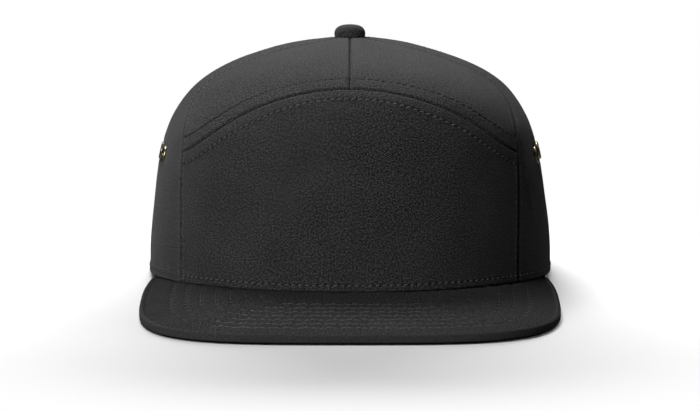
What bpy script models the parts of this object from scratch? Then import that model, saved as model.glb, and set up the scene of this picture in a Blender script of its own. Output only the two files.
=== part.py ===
"""A seven panel cap with a flat peak, as it rests on a table.

One wide front panel ends in an arched seam. Two top panels join it to the button, and two side panels and
two back panels close the crown. The back has an arched opening with a plain snap strap across it. Each side
panel has two metal eyelets, and a sweatband lines the rim.

Metres, +Z up. The peak points to -Y, and the wearer's left is +X. The origin is on the table, in the middle
of the cap's footprint. Lengths inside the functions are measured from the button's axis, and shifted last.
"""

import math

import bmesh
import bpy
from mathutils import Matrix, Vector

# Crown
HALF_WIDTH = 0.0895
FRONT_REACH = 0.101
BACK_REACH = 0.097
BUTTON_HEIGHT = 0.1056
FRONT_RIM_LIFT = 0.0082
RIM_FLAT_BEHIND = 0.017
FRONT_SQUARENESS = 0.12
BACK_SQUARENESS = 0.05
CLOTH = 0.0016
SEAM_GAP = 0.0003

# The crown's sections, from the rim to the button. "out" is a share of the half width or reach, and "up" a
# share of the height from the rim to the button.
SECTION_COLUMNS = ("run", "side_out", "side_up", "front_out", "front_up", "back_out", "back_up")
SECTIONS = (
    (0.00, 1.000, 0.000, 1.000, 0.000, 1.000, 0.000),
    (0.15, 0.997, 0.140, 0.997, 0.160, 1.006, 0.130),
    (0.30, 0.976, 0.310, 0.985, 0.340, 1.000, 0.275),
    (0.45, 0.942, 0.500, 0.962, 0.535, 0.955, 0.440),
    (0.58, 0.880, 0.665, 0.915, 0.710, 0.860, 0.605),
    (0.70, 0.756, 0.800, 0.820, 0.850, 0.715, 0.750),
    (0.80, 0.585, 0.885, 0.655, 0.935, 0.540, 0.860),
    (0.90, 0.320, 0.958, 0.370, 0.983, 0.300, 0.945),
    (1.00, 0.000, 1.000, 0.000, 1.000, 0.000, 1.000),
)

# The seams that run up to the button, in degrees round from the middle of the front.
SEAM_COLUMNS = ("run", "front_seam", "back_seam")
SEAMS = (
    (0.00, 51.0, 112.0),
    (0.15, 51.3, 112.0),
    (0.30, 53.3, 112.5),
    (0.45, 56.5, 113.5),
    (0.55, 60.5, 115.0),
    (0.65, 68.0, 117.0),
    (0.72, 73.5, 118.0),
    (0.80, 76.0, 119.0),
    (0.90, 73.0, 120.0),
    (1.00, 65.0, 121.0),
)

# The arched seam over the front panel: its run at the middle and at its ends, and how round it is.
ARCH_MIDDLE_RUN = 0.717
ARCH_END_RUN = 0.490
ARCH_ROUNDNESS = 0.70

# Peak
PEAK_HALF_WIDTH = 0.0897
PEAK_LENGTH = 0.069
PEAK_THICKNESS = 0.0036
PEAK_WIDEST_AHEAD = 0.083
PEAK_END_AHEAD = 0.038
PEAK_END_TUCK = 0.0022
PEAK_CORNER_POWER = 3.8
PEAK_EDGE_ROUND = 0.0009
PEAK_GAP = 0.0003

# Back opening and its strap
OPENING_HALF_WIDTH = 0.038
OPENING_HEIGHT = 0.046
STRAP_THICKNESS = 0.0024
STRAP_HEIGHT = 0.018
STRAP_ABOVE_RIM = 0.0015
STRAP_TAB = 0.013
STRAP_CLEARANCE = 0.0005

# Sweatband
SWEATBAND_HEIGHT = 0.030
SWEATBAND_THICKNESS = 0.0011
SWEATBAND_GAP = 0.0003
SWEATBAND_END_GAP = 0.0006

# Eyelets
EYELET_RUN = 0.462
EYELET_REAR_AHEAD = 0.005
EYELET_SPACING = 0.020
EYELET_FLANGE_RADIUS = 0.0040
EYELET_BARREL_RADIUS = 0.0026
EYELET_HOLE_RADIUS = 0.0018
EYELET_FLANGE_HEIGHT = 0.0009
EYELET_GAP = 0.0004
EYELET_PLACES = (("rear", EYELET_REAR_AHEAD), ("front", EYELET_REAR_AHEAD + EYELET_SPACING))

# Button
BUTTON_RADIUS = 0.0069
BUTTON_DOME = 0.0048
BUTTON_SHANK_RADIUS = 0.0015
BUTTON_PLATE_RADIUS = 0.0048
BUTTON_PLATE_THICKNESS = 0.0008
BUTTON_GAP = 0.0003

# Facets
LOWER_ROWS = 6
UPPER_ROWS = 9
FRONT_COLUMNS = 8
SIDE_COLUMNS = 10
BACK_COLUMNS = 9
PEAK_COLUMNS = 16
ROUND_SIDES = 20

FRONT = -90.0
BACK = 90.0
FOOTPRINT_SHIFT = (FRONT_REACH + PEAK_LENGTH - BACK_REACH) / 2
BLACK_TWILL = (0.012, 0.012, 0.013)
BLACK_PLASTIC = (0.010, 0.010, 0.011)
AGED_BRASS = (0.32, 0.28, 0.20)


def mix(low, high, share):
    return low + (high - low) * share


def smooth(share):
    share = min(max(share, 0.0), 1.0)
    return share * share * (3.0 - 2.0 * share)


def read_table(rows, columns, name, run):
    """The named column at this run, on a smooth curve through the table's rows."""
    column = columns.index(name)
    x = [row[0] for row in rows]
    y = [row[column] for row in rows]
    last = len(rows) - 1
    k = max(i for i in range(last) if i == 0 or x[i] <= run)

    def slope(i):
        if i == 0:
            return (y[1] - y[0]) / (x[1] - x[0])
        if i == last:
            return (y[last] - y[last - 1]) / (x[last] - x[last - 1])
        before, after = x[i] - x[i - 1], x[i + 1] - x[i]
        rise_before, rise_after = (y[i] - y[i - 1]) / before, (y[i + 1] - y[i]) / after
        return (rise_before * after + rise_after * before) / (before + after)

    step = x[k + 1] - x[k]
    u = (run - x[k]) / step
    value = (2 * u**3 - 3 * u**2 + 1) * y[k] + (3 * u**2 - 2 * u**3) * y[k + 1]
    return value + step * ((u**3 - 2 * u**2 + u) * slope(k) + (u**3 - u**2) * slope(k + 1))


def section(name, run):
    return read_table(SECTIONS, SECTION_COLUMNS, name, run)


def front_seam(run):
    return read_table(SEAMS, SEAM_COLUMNS, "front_seam", run)


def back_seam(run):
    return read_table(SEAMS, SEAM_COLUMNS, "back_seam", run)


def arch_run(across):
    """The run of the arched seam, at a share across from the middle of the front to the side seam."""
    drop = (1 + ARCH_ROUNDNESS) * across**2 - ARCH_ROUNDNESS * across**4
    return ARCH_MIDDLE_RUN - (ARCH_MIDDLE_RUN - ARCH_END_RUN) * drop


def rim_height(ahead):
    """The rim lies on the table at the back and rises to the front, where it sits on the peak."""
    return FRONT_RIM_LIFT * smooth((ahead + RIM_FLAT_BEHIND) / (FRONT_REACH + RIM_FLAT_BEHIND))


def outer_point(run, turn):
    """A point of the crown's outer face. turn is in degrees round the button's axis, from +X to +Y."""
    c, s = math.cos(math.radians(turn)), math.sin(math.radians(turn))
    end, reach, squareness = ("front", FRONT_REACH, FRONT_SQUARENESS)
    if s > 0:
        end, reach, squareness = ("back", BACK_REACH, BACK_SQUARENESS)
    along = reach * s * (1 + squareness * c * c)
    rim = rim_height(-along)
    up = section("side_up", run) * c * c + section(end + "_up", run) * s * s
    return Vector((
        HALF_WIDTH * section("side_out", run) * c * (1 + squareness * s * s),
        section(end + "_out", run) * along,
        mix(rim, BUTTON_HEIGHT, up),
    ))


def outer_normal(run, turn):
    run_step, turn_step = 0.004, 0.5
    up = outer_point(run + run_step, turn) - outer_point(run - run_step, turn)
    round_rim = outer_point(run, turn + turn_step) - outer_point(run, turn - turn_step)
    return round_rim.cross(up).normalized()


def crown_point(run, turn, depth=0.0):
    """A point this deep inside the crown's outer face. The rim's underside stays level."""
    normal = outer_normal(run, turn)
    if run == 0:
        normal.z = 0
        normal.normalize()
    return outer_point(run, turn) - depth * normal


def run_at_height(turn, height):
    """The run at which the outer face is this far above its rim."""
    low, high = 0.0, 0.6
    for _ in range(30):
        middle = (low + high) / 2
        if outer_point(middle, turn).z - outer_point(0.0, turn).z < height:
            low = middle
        else:
            high = middle
    return low


def run_at_radius(radius):
    """The run at which the crown closes to this radius round the button's shank."""
    low, high = 0.5, 1.0
    for _ in range(30):
        middle = (low + high) / 2
        narrowest = min(outer_point(middle, turn).xy.length for turn in (0.0, FRONT, BACK))
        if narrowest > radius:
            low = middle
        else:
            high = middle
    return low


def make_material(name, colour, roughness, metallic=0.0):
    material = bpy.data.materials.new(name)
    material.use_nodes = True
    shader = material.node_tree.nodes["Principled BSDF"]
    shader.inputs["Base Color"].default_value = (*colour, 1.0)
    shader.inputs["Roughness"].default_value = roughness
    shader.inputs["Metallic"].default_value = metallic
    material.diffuse_color = (*colour, 1.0)
    return material


def shifted(point):
    return point + Vector((0.0, FOOTPRINT_SHIFT, 0.0))


def finish_object(obj, collection, material, sharp_degrees=40.0):
    collection.objects.link(obj)
    obj.data.materials.append(material)
    obj.data.shade_smooth()
    obj.data.set_sharp_from_angle(angle=math.radians(sharp_degrees))
    return obj


def loft(name, loops, collection, material):
    """A closed body through closed loops of equal length, each an outer rail followed by its inner rail
    reversed. A Solidify modifier isn't used, because an open panel's edge normals would tilt its inner face
    into the next panel."""
    mesh = bpy.data.meshes.new(name)
    body = bmesh.new()
    rings = [[body.verts.new(shifted(point)) for point in loop] for loop in loops]
    count = len(loops[0])
    for ring, following in zip(rings, rings[1:]):
        for i in range(count):
            j = (i + 1) % count
            body.faces.new((ring[i], ring[j], following[j], following[i]))
    for i in range(count // 2 - 1):
        first, last = rings[0], rings[-1]
        body.faces.new((first[i + 1], first[i], first[count - 1 - i], first[count - 2 - i]))
        body.faces.new((last[i], last[i + 1], last[count - 2 - i], last[count - 1 - i]))
    bmesh.ops.recalc_face_normals(body, faces=body.faces)
    body.to_mesh(mesh)
    body.free()
    return finish_object(bpy.data.objects.new(name, mesh), collection, material)


def seam_runs():
    """The runs at which every panel has a row, so that neighbours have the same facets at a seam."""
    top = run_at_radius(BUTTON_SHANK_RADIUS + BUTTON_GAP)
    lower = [mix(0.0, ARCH_END_RUN, i / LOWER_ROWS) for i in range(LOWER_ROWS)]
    return lower + [mix(ARCH_END_RUN, top, i / UPPER_ROWS) for i in range(UPPER_ROWS + 1)]


def shares(count, inset_first, inset_last):
    """Even shares from 0 to 1, with the first and last drawn in by half a seam's gap."""
    values = [i / count for i in range(count + 1)]
    values[0] += inset_first
    values[-1] -= inset_last
    return values


def half_gap_share(first, last):
    """Half a seam's gap, as a share of the way from one point to another."""
    return SEAM_GAP / 2 / (last - first).length


def panel_loop(runs, turn_at, mirror):
    """One column of a panel: up its outer face and back down its inner face."""
    sign = -1.0 if mirror else 1.0
    loop = [crown_point(run, turn_at(run)) for run in runs]
    loop += [crown_point(run, turn_at(run), CLOTH) for run in reversed(runs)]
    return [Vector((sign * p.x, p.y, p.z)) for p in loop]


def seam_to_seam_panel(name, first_turn, last_turn, columns, mirror, collection, material):
    """A panel that runs from the rim to the button, between two seams given as functions of the run."""
    runs = seam_runs()

    def turn_at(run, share):
        """The share across, with the panel's two edges drawn in by half a gap at this run."""
        first, last = first_turn(run), last_turn(run)
        inset = half_gap_share(outer_point(run, first), outer_point(run, last))
        return mix(first, last, min(max(share, inset), 1 - inset))

    loops = [
        panel_loop(runs, lambda run, share=i / columns: turn_at(run, share), mirror)
        for i in range(columns + 1)
    ]
    return loft(name, loops, collection, material)


def front_inset(run):
    """Half a seam's gap, as a share of the way from the middle of the front to its side seam."""
    return half_gap_share(outer_point(run, FRONT), outer_point(run, FRONT + front_seam(run)))


def front_turn(run, across):
    """The turn at a share across the front, from its middle to the wearer's left side seam."""
    limit = 1 - front_inset(run)
    return FRONT + front_seam(run) * min(max(across, -limit), limit)


def front_panel(collection, material):
    loops = []
    for i in range(-FRONT_COLUMNS, FRONT_COLUMNS + 1):
        across = i / FRONT_COLUMNS
        top = arch_run(across)
        inset = half_gap_share(outer_point(0.0, FRONT), outer_point(top, FRONT))
        runs = [top * share for share in shares(LOWER_ROWS, 0.0, inset)]
        loops.append(panel_loop(runs, lambda run, a=across: front_turn(run, a), False))
    return loft("front_panel", loops, collection, material)


def top_panel(name, mirror, collection, material):
    """The half of the yoke between the arched seam and the button."""
    loops = []
    top = run_at_radius(BUTTON_SHANK_RADIUS + BUTTON_GAP)
    for i in range(FRONT_COLUMNS + 1):
        across = i / FRONT_COLUMNS
        bottom = arch_run(across)
        inset = half_gap_share(outer_point(bottom, FRONT), outer_point(top, FRONT))
        runs = [mix(bottom, top, share) for share in shares(UPPER_ROWS, inset, 0.0)]

        def turn_at(run, across=across):
            return front_turn(run, max(across, front_inset(run)))

        loops.append(panel_loop(runs, turn_at, mirror))
    return loft(name, loops, collection, material)


def turned(name, profile, collection, material):
    """A body turned about Z from a closed profile of (radius, height), listed down its outer side."""
    mesh = bpy.data.meshes.new(name)
    count = len(profile)
    edges = [(i, (i + 1) % count) for i in range(count)]
    if profile[0][0] == 0:
        edges.pop()
    mesh.from_pydata([(radius, 0.0, height) for radius, height in profile], edges, [])
    obj = bpy.data.objects.new(name, mesh)
    screw = obj.modifiers.new("turn", "SCREW")
    screw.axis = "Z"
    screw.steps = ROUND_SIDES
    screw.render_steps = ROUND_SIDES
    screw.use_merge_vertices = True
    screw.merge_threshold = 0.00001
    collection.objects.link(obj)
    mesh.materials.append(material)
    return obj


def seat(obj, point, normal):
    """Puts an object's origin at a point of the crown, with its Z along the normal."""
    turn = normal.to_track_quat("Z", "Y").to_matrix().to_4x4()
    obj.matrix_world = Matrix.Translation(shifted(point)) @ turn


def button_axis():
    """The crown's normal at the button, from the four directions round it."""
    run = run_at_radius(BUTTON_RADIUS)
    front, back = outer_point(run, FRONT), outer_point(run, BACK)
    return Vector((1.0, 0.0, 0.0)).cross(back - front).normalized()


def crown_drop(radius):
    """How far the crown falls below the button's seat, along its axis, at this radius."""
    run = run_at_radius(radius)
    seat_point, axis = Vector((0.0, 0.0, BUTTON_HEIGHT)), button_axis()
    return max((seat_point - outer_point(run, turn)).dot(axis) for turn in range(-180, 180, 15))


def top_button(collection, material):
    """A covered button: its dome, the shank through the crown, and the plate that holds it inside."""
    under = BUTTON_GAP
    plate_top = -CLOTH - crown_drop(1.3 * BUTTON_PLATE_RADIUS) - BUTTON_GAP
    plate_bottom = plate_top - BUTTON_PLATE_THICKNESS
    profile = [
        (0.0, under + BUTTON_DOME),
        (0.42 * BUTTON_RADIUS, under + 0.95 * BUTTON_DOME),
        (0.72 * BUTTON_RADIUS, under + 0.80 * BUTTON_DOME),
        (0.91 * BUTTON_RADIUS, under + 0.57 * BUTTON_DOME),
        (BUTTON_RADIUS, under + 0.30 * BUTTON_DOME),
        (0.97 * BUTTON_RADIUS, under + 0.08 * BUTTON_DOME),
        (0.88 * BUTTON_RADIUS, under),
        (BUTTON_SHANK_RADIUS, under),
        (BUTTON_SHANK_RADIUS, plate_top),
        (BUTTON_PLATE_RADIUS, plate_top),
        (BUTTON_PLATE_RADIUS, plate_bottom),
        (0.0, plate_bottom),
    ]
    obj = turned("top_button", profile, collection, material)
    seat(obj, Vector((0.0, 0.0, BUTTON_HEIGHT)), button_axis())
    return obj


def eyelet_turn(ahead):
    """The turn at which the side of the crown is this far ahead of the button."""
    reach = FRONT_REACH * section("front_out", EYELET_RUN) * (1 + FRONT_SQUARENESS)
    return math.degrees(math.asin(-ahead / reach))


def mirrored(vector):
    return Vector((-vector.x, vector.y, vector.z))


def eyelet(name, point, normal, collection, material):
    """A rolled flange outside, a barrel through the cloth, and a flat washer inside."""
    outside = EYELET_GAP
    inside = -CLOTH - 1.5 * EYELET_GAP
    profile = [
        (mix(EYELET_HOLE_RADIUS, EYELET_FLANGE_RADIUS, 0.45), outside + EYELET_FLANGE_HEIGHT),
        (mix(EYELET_HOLE_RADIUS, EYELET_FLANGE_RADIUS, 0.80), outside + 0.80 * EYELET_FLANGE_HEIGHT),
        (EYELET_FLANGE_RADIUS, outside + 0.30 * EYELET_FLANGE_HEIGHT),
        (EYELET_FLANGE_RADIUS, outside),
        (EYELET_BARREL_RADIUS, outside),
        (EYELET_BARREL_RADIUS, inside),
        (EYELET_FLANGE_RADIUS, inside),
        (EYELET_FLANGE_RADIUS, inside - EYELET_FLANGE_HEIGHT / 2),
        (EYELET_HOLE_RADIUS, inside - EYELET_FLANGE_HEIGHT / 2),
        (EYELET_HOLE_RADIUS, outside + 0.50 * EYELET_FLANGE_HEIGHT),
        (mix(EYELET_HOLE_RADIUS, EYELET_FLANGE_RADIUS, 0.15), outside + 0.85 * EYELET_FLANGE_HEIGHT),
    ]
    obj = turned(name, profile, collection, material)
    seat(obj, point, normal)
    return obj


def cut(obj, cutter):
    difference = obj.modifiers.new("cut", "BOOLEAN")
    difference.operation = "DIFFERENCE"
    difference.object = cutter
    cutter.hide_render = True
    cutter.display_type = "WIRE"


def hole_cutter(name, point, normal, collection):
    """A cylinder through the cloth, wider than the eyelet's barrel by its gap."""
    bpy.ops.mesh.primitive_cylinder_add(
        vertices=ROUND_SIDES, radius=EYELET_BARREL_RADIUS + EYELET_GAP, depth=8 * CLOTH
    )
    obj = bpy.context.object
    obj.name = name
    for holder in list(obj.users_collection):
        holder.objects.unlink(obj)
    collection.objects.link(obj)
    seat(obj, point, normal)
    return obj


def side_with_eyelets(side, mirror, parts, cutters, twill, metal):
    panel = seam_to_seam_panel(
        "side_panel_" + side,
        lambda run: FRONT + front_seam(run),
        lambda run: FRONT + back_seam(run),
        SIDE_COLUMNS, mirror, parts, twill,
    )
    for place, ahead in EYELET_PLACES:
        turn = eyelet_turn(ahead)
        point, normal = outer_point(EYELET_RUN, turn), outer_normal(EYELET_RUN, turn)
        if mirror:
            point, normal = mirrored(point), mirrored(normal)
        eyelet(f"eyelet_{side}_{place}", point, normal, parts, metal)
        cut(panel, hole_cutter(f"eyelet_hole_{side}_{place}", point, normal, cutters))


def opening_cutter(collection):
    """The arched opening's outline, extruded through the back of the crown."""
    steps = 20
    depth = BACK_REACH
    outline = bpy.data.curves.new("opening_outline", "CURVE")
    outline.dimensions = "2D"
    outline.fill_mode = "BOTH"
    outline.extrude = depth / 2
    spline = outline.splines.new("POLY")
    arch = [
        (OPENING_HALF_WIDTH * math.cos(math.pi * i / steps), OPENING_HEIGHT * math.sin(math.pi * i / steps))
        for i in range(steps + 1)
    ]
    below = -OPENING_HEIGHT / 4
    points = [(OPENING_HALF_WIDTH, below), *arch, (-OPENING_HALF_WIDTH, below)]
    spline.points.add(len(points) - 1)
    for point, (x, z) in zip(spline.points, points):
        point.co = (x, z, 0.0, 1.0)
    spline.use_cyclic_u = True
    flat = bpy.data.objects.new("opening_outline", outline)
    collection.objects.link(flat)
    flat.matrix_world = Matrix.Translation(shifted(Vector((0.0, BACK_REACH, 0.0)))) @ Matrix.Rotation(
        math.radians(90), 4, "X"
    )
    bpy.context.view_layer.update()
    evaluated = flat.evaluated_get(bpy.context.evaluated_depsgraph_get())
    mesh = bpy.data.meshes.new_from_object(evaluated)
    body = bmesh.new()
    body.from_mesh(mesh)
    bmesh.ops.remove_doubles(body, verts=body.verts, dist=0.00001)
    bmesh.ops.recalc_face_normals(body, faces=body.faces)
    body.to_mesh(mesh)
    body.free()
    cutter = bpy.data.objects.new("back_opening", mesh)
    cutter.matrix_world = flat.matrix_world
    collection.objects.link(cutter)
    bpy.data.objects.remove(flat)
    return cutter


def back_with_opening(side, mirror, parts, cutter, twill):
    panel = seam_to_seam_panel(
        "back_panel_" + side,
        lambda run: FRONT + back_seam(run),
        lambda run: BACK,
        BACK_COLUMNS, mirror, parts, twill,
    )
    cut(panel, cutter)


def peak_outline(share):
    """The peak's outer edge at a share from its rear end, at 0, to the middle of its front, at 1."""
    straight = PEAK_WIDEST_AHEAD - PEAK_END_AHEAD
    front = FRONT_REACH + PEAK_LENGTH - PEAK_WIDEST_AHEAD
    straight_share = straight / (straight + front + PEAK_HALF_WIDTH / 2)
    if share < straight_share:
        back = 1 - share / straight_share
        x = PEAK_HALF_WIDTH - PEAK_END_TUCK * back * back
        return Vector((x, -PEAK_WIDEST_AHEAD + straight * back, 0.0))
    angle = math.radians(90) * (share - straight_share) / (1 - straight_share)
    c, s = math.cos(angle), math.sin(angle)
    power = 2 / PEAK_CORNER_POWER
    return Vector((PEAK_HALF_WIDTH * max(c, 0.0) ** power, -PEAK_WIDEST_AHEAD - front * s**power, 0.0))


def even_shares(curve, count):
    """Shares at which a curve is cut into even lengths."""
    fine = 400
    points = [curve(i / fine) for i in range(fine + 1)]
    lengths = [0.0]
    for a, b in zip(points, points[1:]):
        lengths.append(lengths[-1] + (b - a).length)
    found = []
    for k in range(count + 1):
        wanted = lengths[-1] * k / count
        i = max(j for j in range(fine) if j == 0 or lengths[j] <= wanted)
        found.append((i + (wanted - lengths[i]) / (lengths[i + 1] - lengths[i])) / fine)
    return found


def peak_end_turn():
    """The turn at which the rim is as far ahead of the button as the peak's rear end."""
    low, high = FRONT, 0.0
    for _ in range(30):
        middle = (low + high) / 2
        if outer_point(0.0, middle).y < -PEAK_END_AHEAD:
            low = middle
        else:
            high = middle
    return low


def peak_loop(inner, outer):
    """One section of the peak, from the rim to its edge: along the top, round the edge, and back below."""
    rows = 5
    top = [inner.lerp(outer, i / rows) for i in range(rows)]
    inward = (inner - outer).normalized() * PEAK_EDGE_ROUND
    drop = Vector((0.0, 0.0, PEAK_EDGE_ROUND))
    top += [outer + inward, outer - drop]
    bottom = [Vector((p.x, p.y, max(p.z - PEAK_THICKNESS, 0.0))) for p in top]
    bottom[-1] = Vector((outer.x, outer.y, 0.0)) + drop
    return top + bottom[::-1]


def peak(collection, material):
    end = peak_end_turn()
    inner_shares = even_shares(lambda share: outer_point(0.0, mix(end, FRONT, share)), PEAK_COLUMNS)
    outer_shares = even_shares(peak_outline, PEAK_COLUMNS)
    half = []
    for inner_share, outer_share in zip(inner_shares, outer_shares):
        inner = crown_point(0.0, mix(end, FRONT, inner_share), CLOTH)
        inner.z -= PEAK_GAP
        outer = peak_outline(outer_share)
        outer.z = min(PEAK_THICKNESS, rim_height(-outer.y) - PEAK_GAP)
        half.append(peak_loop(inner, outer))
    loops = half + [[mirrored(p) for p in loop] for loop in reversed(half[:-1])]
    return loft("peak", loops, collection, material)


def tab_turn():
    """The turn at which the strap's sewn tab ends, past the opening's edge."""
    return opening_turn(OPENING_HALF_WIDTH + STRAP_TAB)


def opening_turn(x):
    low, high = 0.0, BACK
    for _ in range(30):
        middle = (low + high) / 2
        if outer_point(0.0, middle).x > x:
            low = middle
        else:
            high = middle
    return low


def lining_loop(turn, runs, outer_depth, thickness, lift):
    loop = [crown_point(run, turn, outer_depth) for run in runs]
    loop += [crown_point(run, turn, outer_depth + thickness) for run in reversed(runs)]
    return [p + Vector((0.0, 0.0, lift)) for p in loop]


def snap_strap(collection, material):
    """One plain band across the opening, with a tab sewn inside each back panel."""
    columns = 16
    first = tab_turn()
    depth = CLOTH + STRAP_CLEARANCE
    bottom = run_at_height(BACK, STRAP_ABOVE_RIM)
    top = run_at_height(BACK, STRAP_ABOVE_RIM + STRAP_HEIGHT)
    runs = [mix(bottom, top, i / 3) for i in range(4)]
    loops = [
        lining_loop(mix(first, 180 - first, i / columns), runs, depth, STRAP_THICKNESS, 0.0)
        for i in range(columns + 1)
    ]
    return loft("snap_strap", loops, collection, material)


def sweatband_turns():
    """The panels' own column turns, from the strap's tab round the front to the middle."""
    end = tab_turn() - math.degrees((SWEATBAND_END_GAP + STRAP_CLEARANCE) / HALF_WIDTH)
    seam_back, seam_front = FRONT + back_seam(0.0), FRONT + front_seam(0.0)
    back_turns = [mix(seam_back, BACK, i / BACK_COLUMNS) for i in range(BACK_COLUMNS, -1, -1)]
    turns = [end] + [turn for turn in back_turns if turn < end - 1]
    turns += [mix(seam_back, seam_front, i / SIDE_COLUMNS) for i in range(1, SIDE_COLUMNS + 1)]
    turns += [mix(seam_front, FRONT, i / FRONT_COLUMNS) for i in range(1, FRONT_COLUMNS + 1)]
    return turns


def sweatband(collection, material):
    depth = CLOTH + SWEATBAND_GAP
    half = []
    for turn in sweatband_turns():
        top = run_at_height(turn, SWEATBAND_HEIGHT)
        below = [run for run in seam_runs() if run < 0.9 * top]
        half.append(lining_loop(turn, [*below, top], depth, SWEATBAND_THICKNESS, SWEATBAND_GAP))
    longest = max(len(loop) for loop in half)
    assert all(len(loop) == longest for loop in half)
    loops = half + [[mirrored(p) for p in loop] for loop in reversed(half[:-1])]
    return loft("sweatband", loops, collection, material)


def main():
    for obj in list(bpy.data.objects):
        bpy.data.objects.remove(obj)
    parts = bpy.data.collections.new("seven_panel_cap")
    cutters = bpy.data.collections.new("cutters")
    for collection in (parts, cutters):
        bpy.context.scene.collection.children.link(collection)
    twill = make_material("black_twill", BLACK_TWILL, 0.85)
    plastic = make_material("black_plastic", BLACK_PLASTIC, 0.45)
    metal = make_material("aged_brass", AGED_BRASS, 0.35, 1.0)

    front_panel(parts, twill)
    opening = opening_cutter(cutters)
    for side, mirror in (("left", False), ("right", True)):
        top_panel("top_panel_" + side, mirror, parts, twill)
        side_with_eyelets(side, mirror, parts, cutters, twill, metal)
        back_with_opening(side, mirror, parts, opening, twill)
    peak(parts, twill)
    sweatband(parts, twill)
    top_button(parts, twill)
    snap_strap(parts, plastic)
    cutters.hide_render = True


main()
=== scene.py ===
"""The looks of a seven panel cap: its twill, seams, rows of stitches, button, eyelets and snap strap.

Metres, +Z up, in the part's own frame. The peak points to -Y, and the wearer's left is +X. Each panel is a
fine mesh on the same crown surface as its solid, with the relief of its seams and stitches worked out from
the distance to each seam.
"""

import math

import bpy
import numpy as np
from mathutils import Matrix, Vector, noise


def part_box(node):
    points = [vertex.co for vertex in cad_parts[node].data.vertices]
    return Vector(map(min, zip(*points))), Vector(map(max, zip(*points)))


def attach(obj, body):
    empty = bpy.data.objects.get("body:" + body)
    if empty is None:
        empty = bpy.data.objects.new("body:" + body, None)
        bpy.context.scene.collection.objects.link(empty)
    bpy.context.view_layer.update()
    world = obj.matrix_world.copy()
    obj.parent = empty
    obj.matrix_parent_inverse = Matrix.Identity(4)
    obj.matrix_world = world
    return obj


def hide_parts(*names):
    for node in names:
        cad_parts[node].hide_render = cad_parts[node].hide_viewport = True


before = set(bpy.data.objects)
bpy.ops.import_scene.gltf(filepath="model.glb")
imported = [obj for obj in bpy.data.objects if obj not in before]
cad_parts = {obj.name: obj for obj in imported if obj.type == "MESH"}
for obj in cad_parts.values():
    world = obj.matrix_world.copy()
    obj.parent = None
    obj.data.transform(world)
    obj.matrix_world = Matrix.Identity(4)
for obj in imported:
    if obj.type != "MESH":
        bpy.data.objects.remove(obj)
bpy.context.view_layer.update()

# Crown, peak and fittings, with the sizes of the part's source
HALF_WIDTH = 0.0895
FRONT_REACH = 0.101
BACK_REACH = 0.097
BUTTON_HEIGHT = 0.1056
FRONT_RIM_LIFT = 0.0082
RIM_FLAT_BEHIND = 0.017
FRONT_SQUARENESS = 0.12
BACK_SQUARENESS = 0.05
CLOTH = 0.0016

SECTION_COLUMNS = ("run", "side_out", "side_up", "front_out", "front_up", "back_out", "back_up")
SECTIONS = (
    (0.00, 1.000, 0.000, 1.000, 0.000, 1.000, 0.000),
    (0.15, 0.997, 0.140, 0.997, 0.160, 1.006, 0.130),
    (0.30, 0.976, 0.310, 0.985, 0.340, 1.000, 0.275),
    (0.45, 0.942, 0.500, 0.962, 0.535, 0.955, 0.440),
    (0.58, 0.880, 0.665, 0.915, 0.710, 0.860, 0.605),
    (0.70, 0.756, 0.800, 0.820, 0.850, 0.715, 0.750),
    (0.80, 0.585, 0.885, 0.655, 0.935, 0.540, 0.860),
    (0.90, 0.320, 0.958, 0.370, 0.983, 0.300, 0.945),
    (1.00, 0.000, 1.000, 0.000, 1.000, 0.000, 1.000),
)
SEAM_COLUMNS = ("run", "front_seam", "back_seam")
SEAMS = (
    (0.00, 51.0, 112.0),
    (0.15, 51.3, 112.0),
    (0.30, 53.3, 112.5),
    (0.45, 56.5, 113.5),
    (0.55, 60.5, 115.0),
    (0.65, 68.0, 117.0),
    (0.72, 73.5, 118.0),
    (0.80, 76.0, 119.0),
    (0.90, 73.0, 120.0),
    (1.00, 65.0, 121.0),
)
ARCH_MIDDLE_RUN = 0.717
ARCH_END_RUN = 0.490
ARCH_ROUNDNESS = 0.70

PEAK_HALF_WIDTH = 0.0892
PEAK_LENGTH = 0.069
PEAK_THICKNESS = 0.0036
PEAK_WIDEST_AHEAD = 0.083
PEAK_END_AHEAD = 0.038
PEAK_END_TUCK = 0.0029
PEAK_CORNER_POWER = 3.8
PEAK_GAP = 0.0003

OPENING_HALF_WIDTH = 0.038
OPENING_HEIGHT = 0.046
STRAP_THICKNESS = 0.0024
STRAP_HEIGHT = 0.018
STRAP_ABOVE_RIM = 0.0015
STRAP_CLEARANCE = 0.0005
SWEATBAND_HEIGHT = 0.030
SWEATBAND_THICKNESS = 0.0011
SWEATBAND_GAP = 0.0003
SWEATBAND_WAVE = 0.00012

EYELET_RUN = 0.462
EYELET_PLACES = (("rear", 0.005), ("front", 0.025))
EYELET_FLANGE_RADIUS = 0.0040
EYELET_BARREL_RADIUS = 0.0026
EYELET_HOLE_RADIUS = 0.0018
EYELET_FLANGE_HEIGHT = 0.0009
EYELET_GAP = 0.0004
EYELET_DIMPLE = 0.00045
EYELET_DIMPLE_REACH = 0.0042
BUTTON_RADIUS = 0.0069
BUTTON_DOME = 0.0048

FRONT = -90.0
BACK = 90.0
FOOTPRINT_SHIFT = (FRONT_REACH + PEAK_LENGTH - BACK_REACH) / 2
TOP_RUN = 0.993

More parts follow.
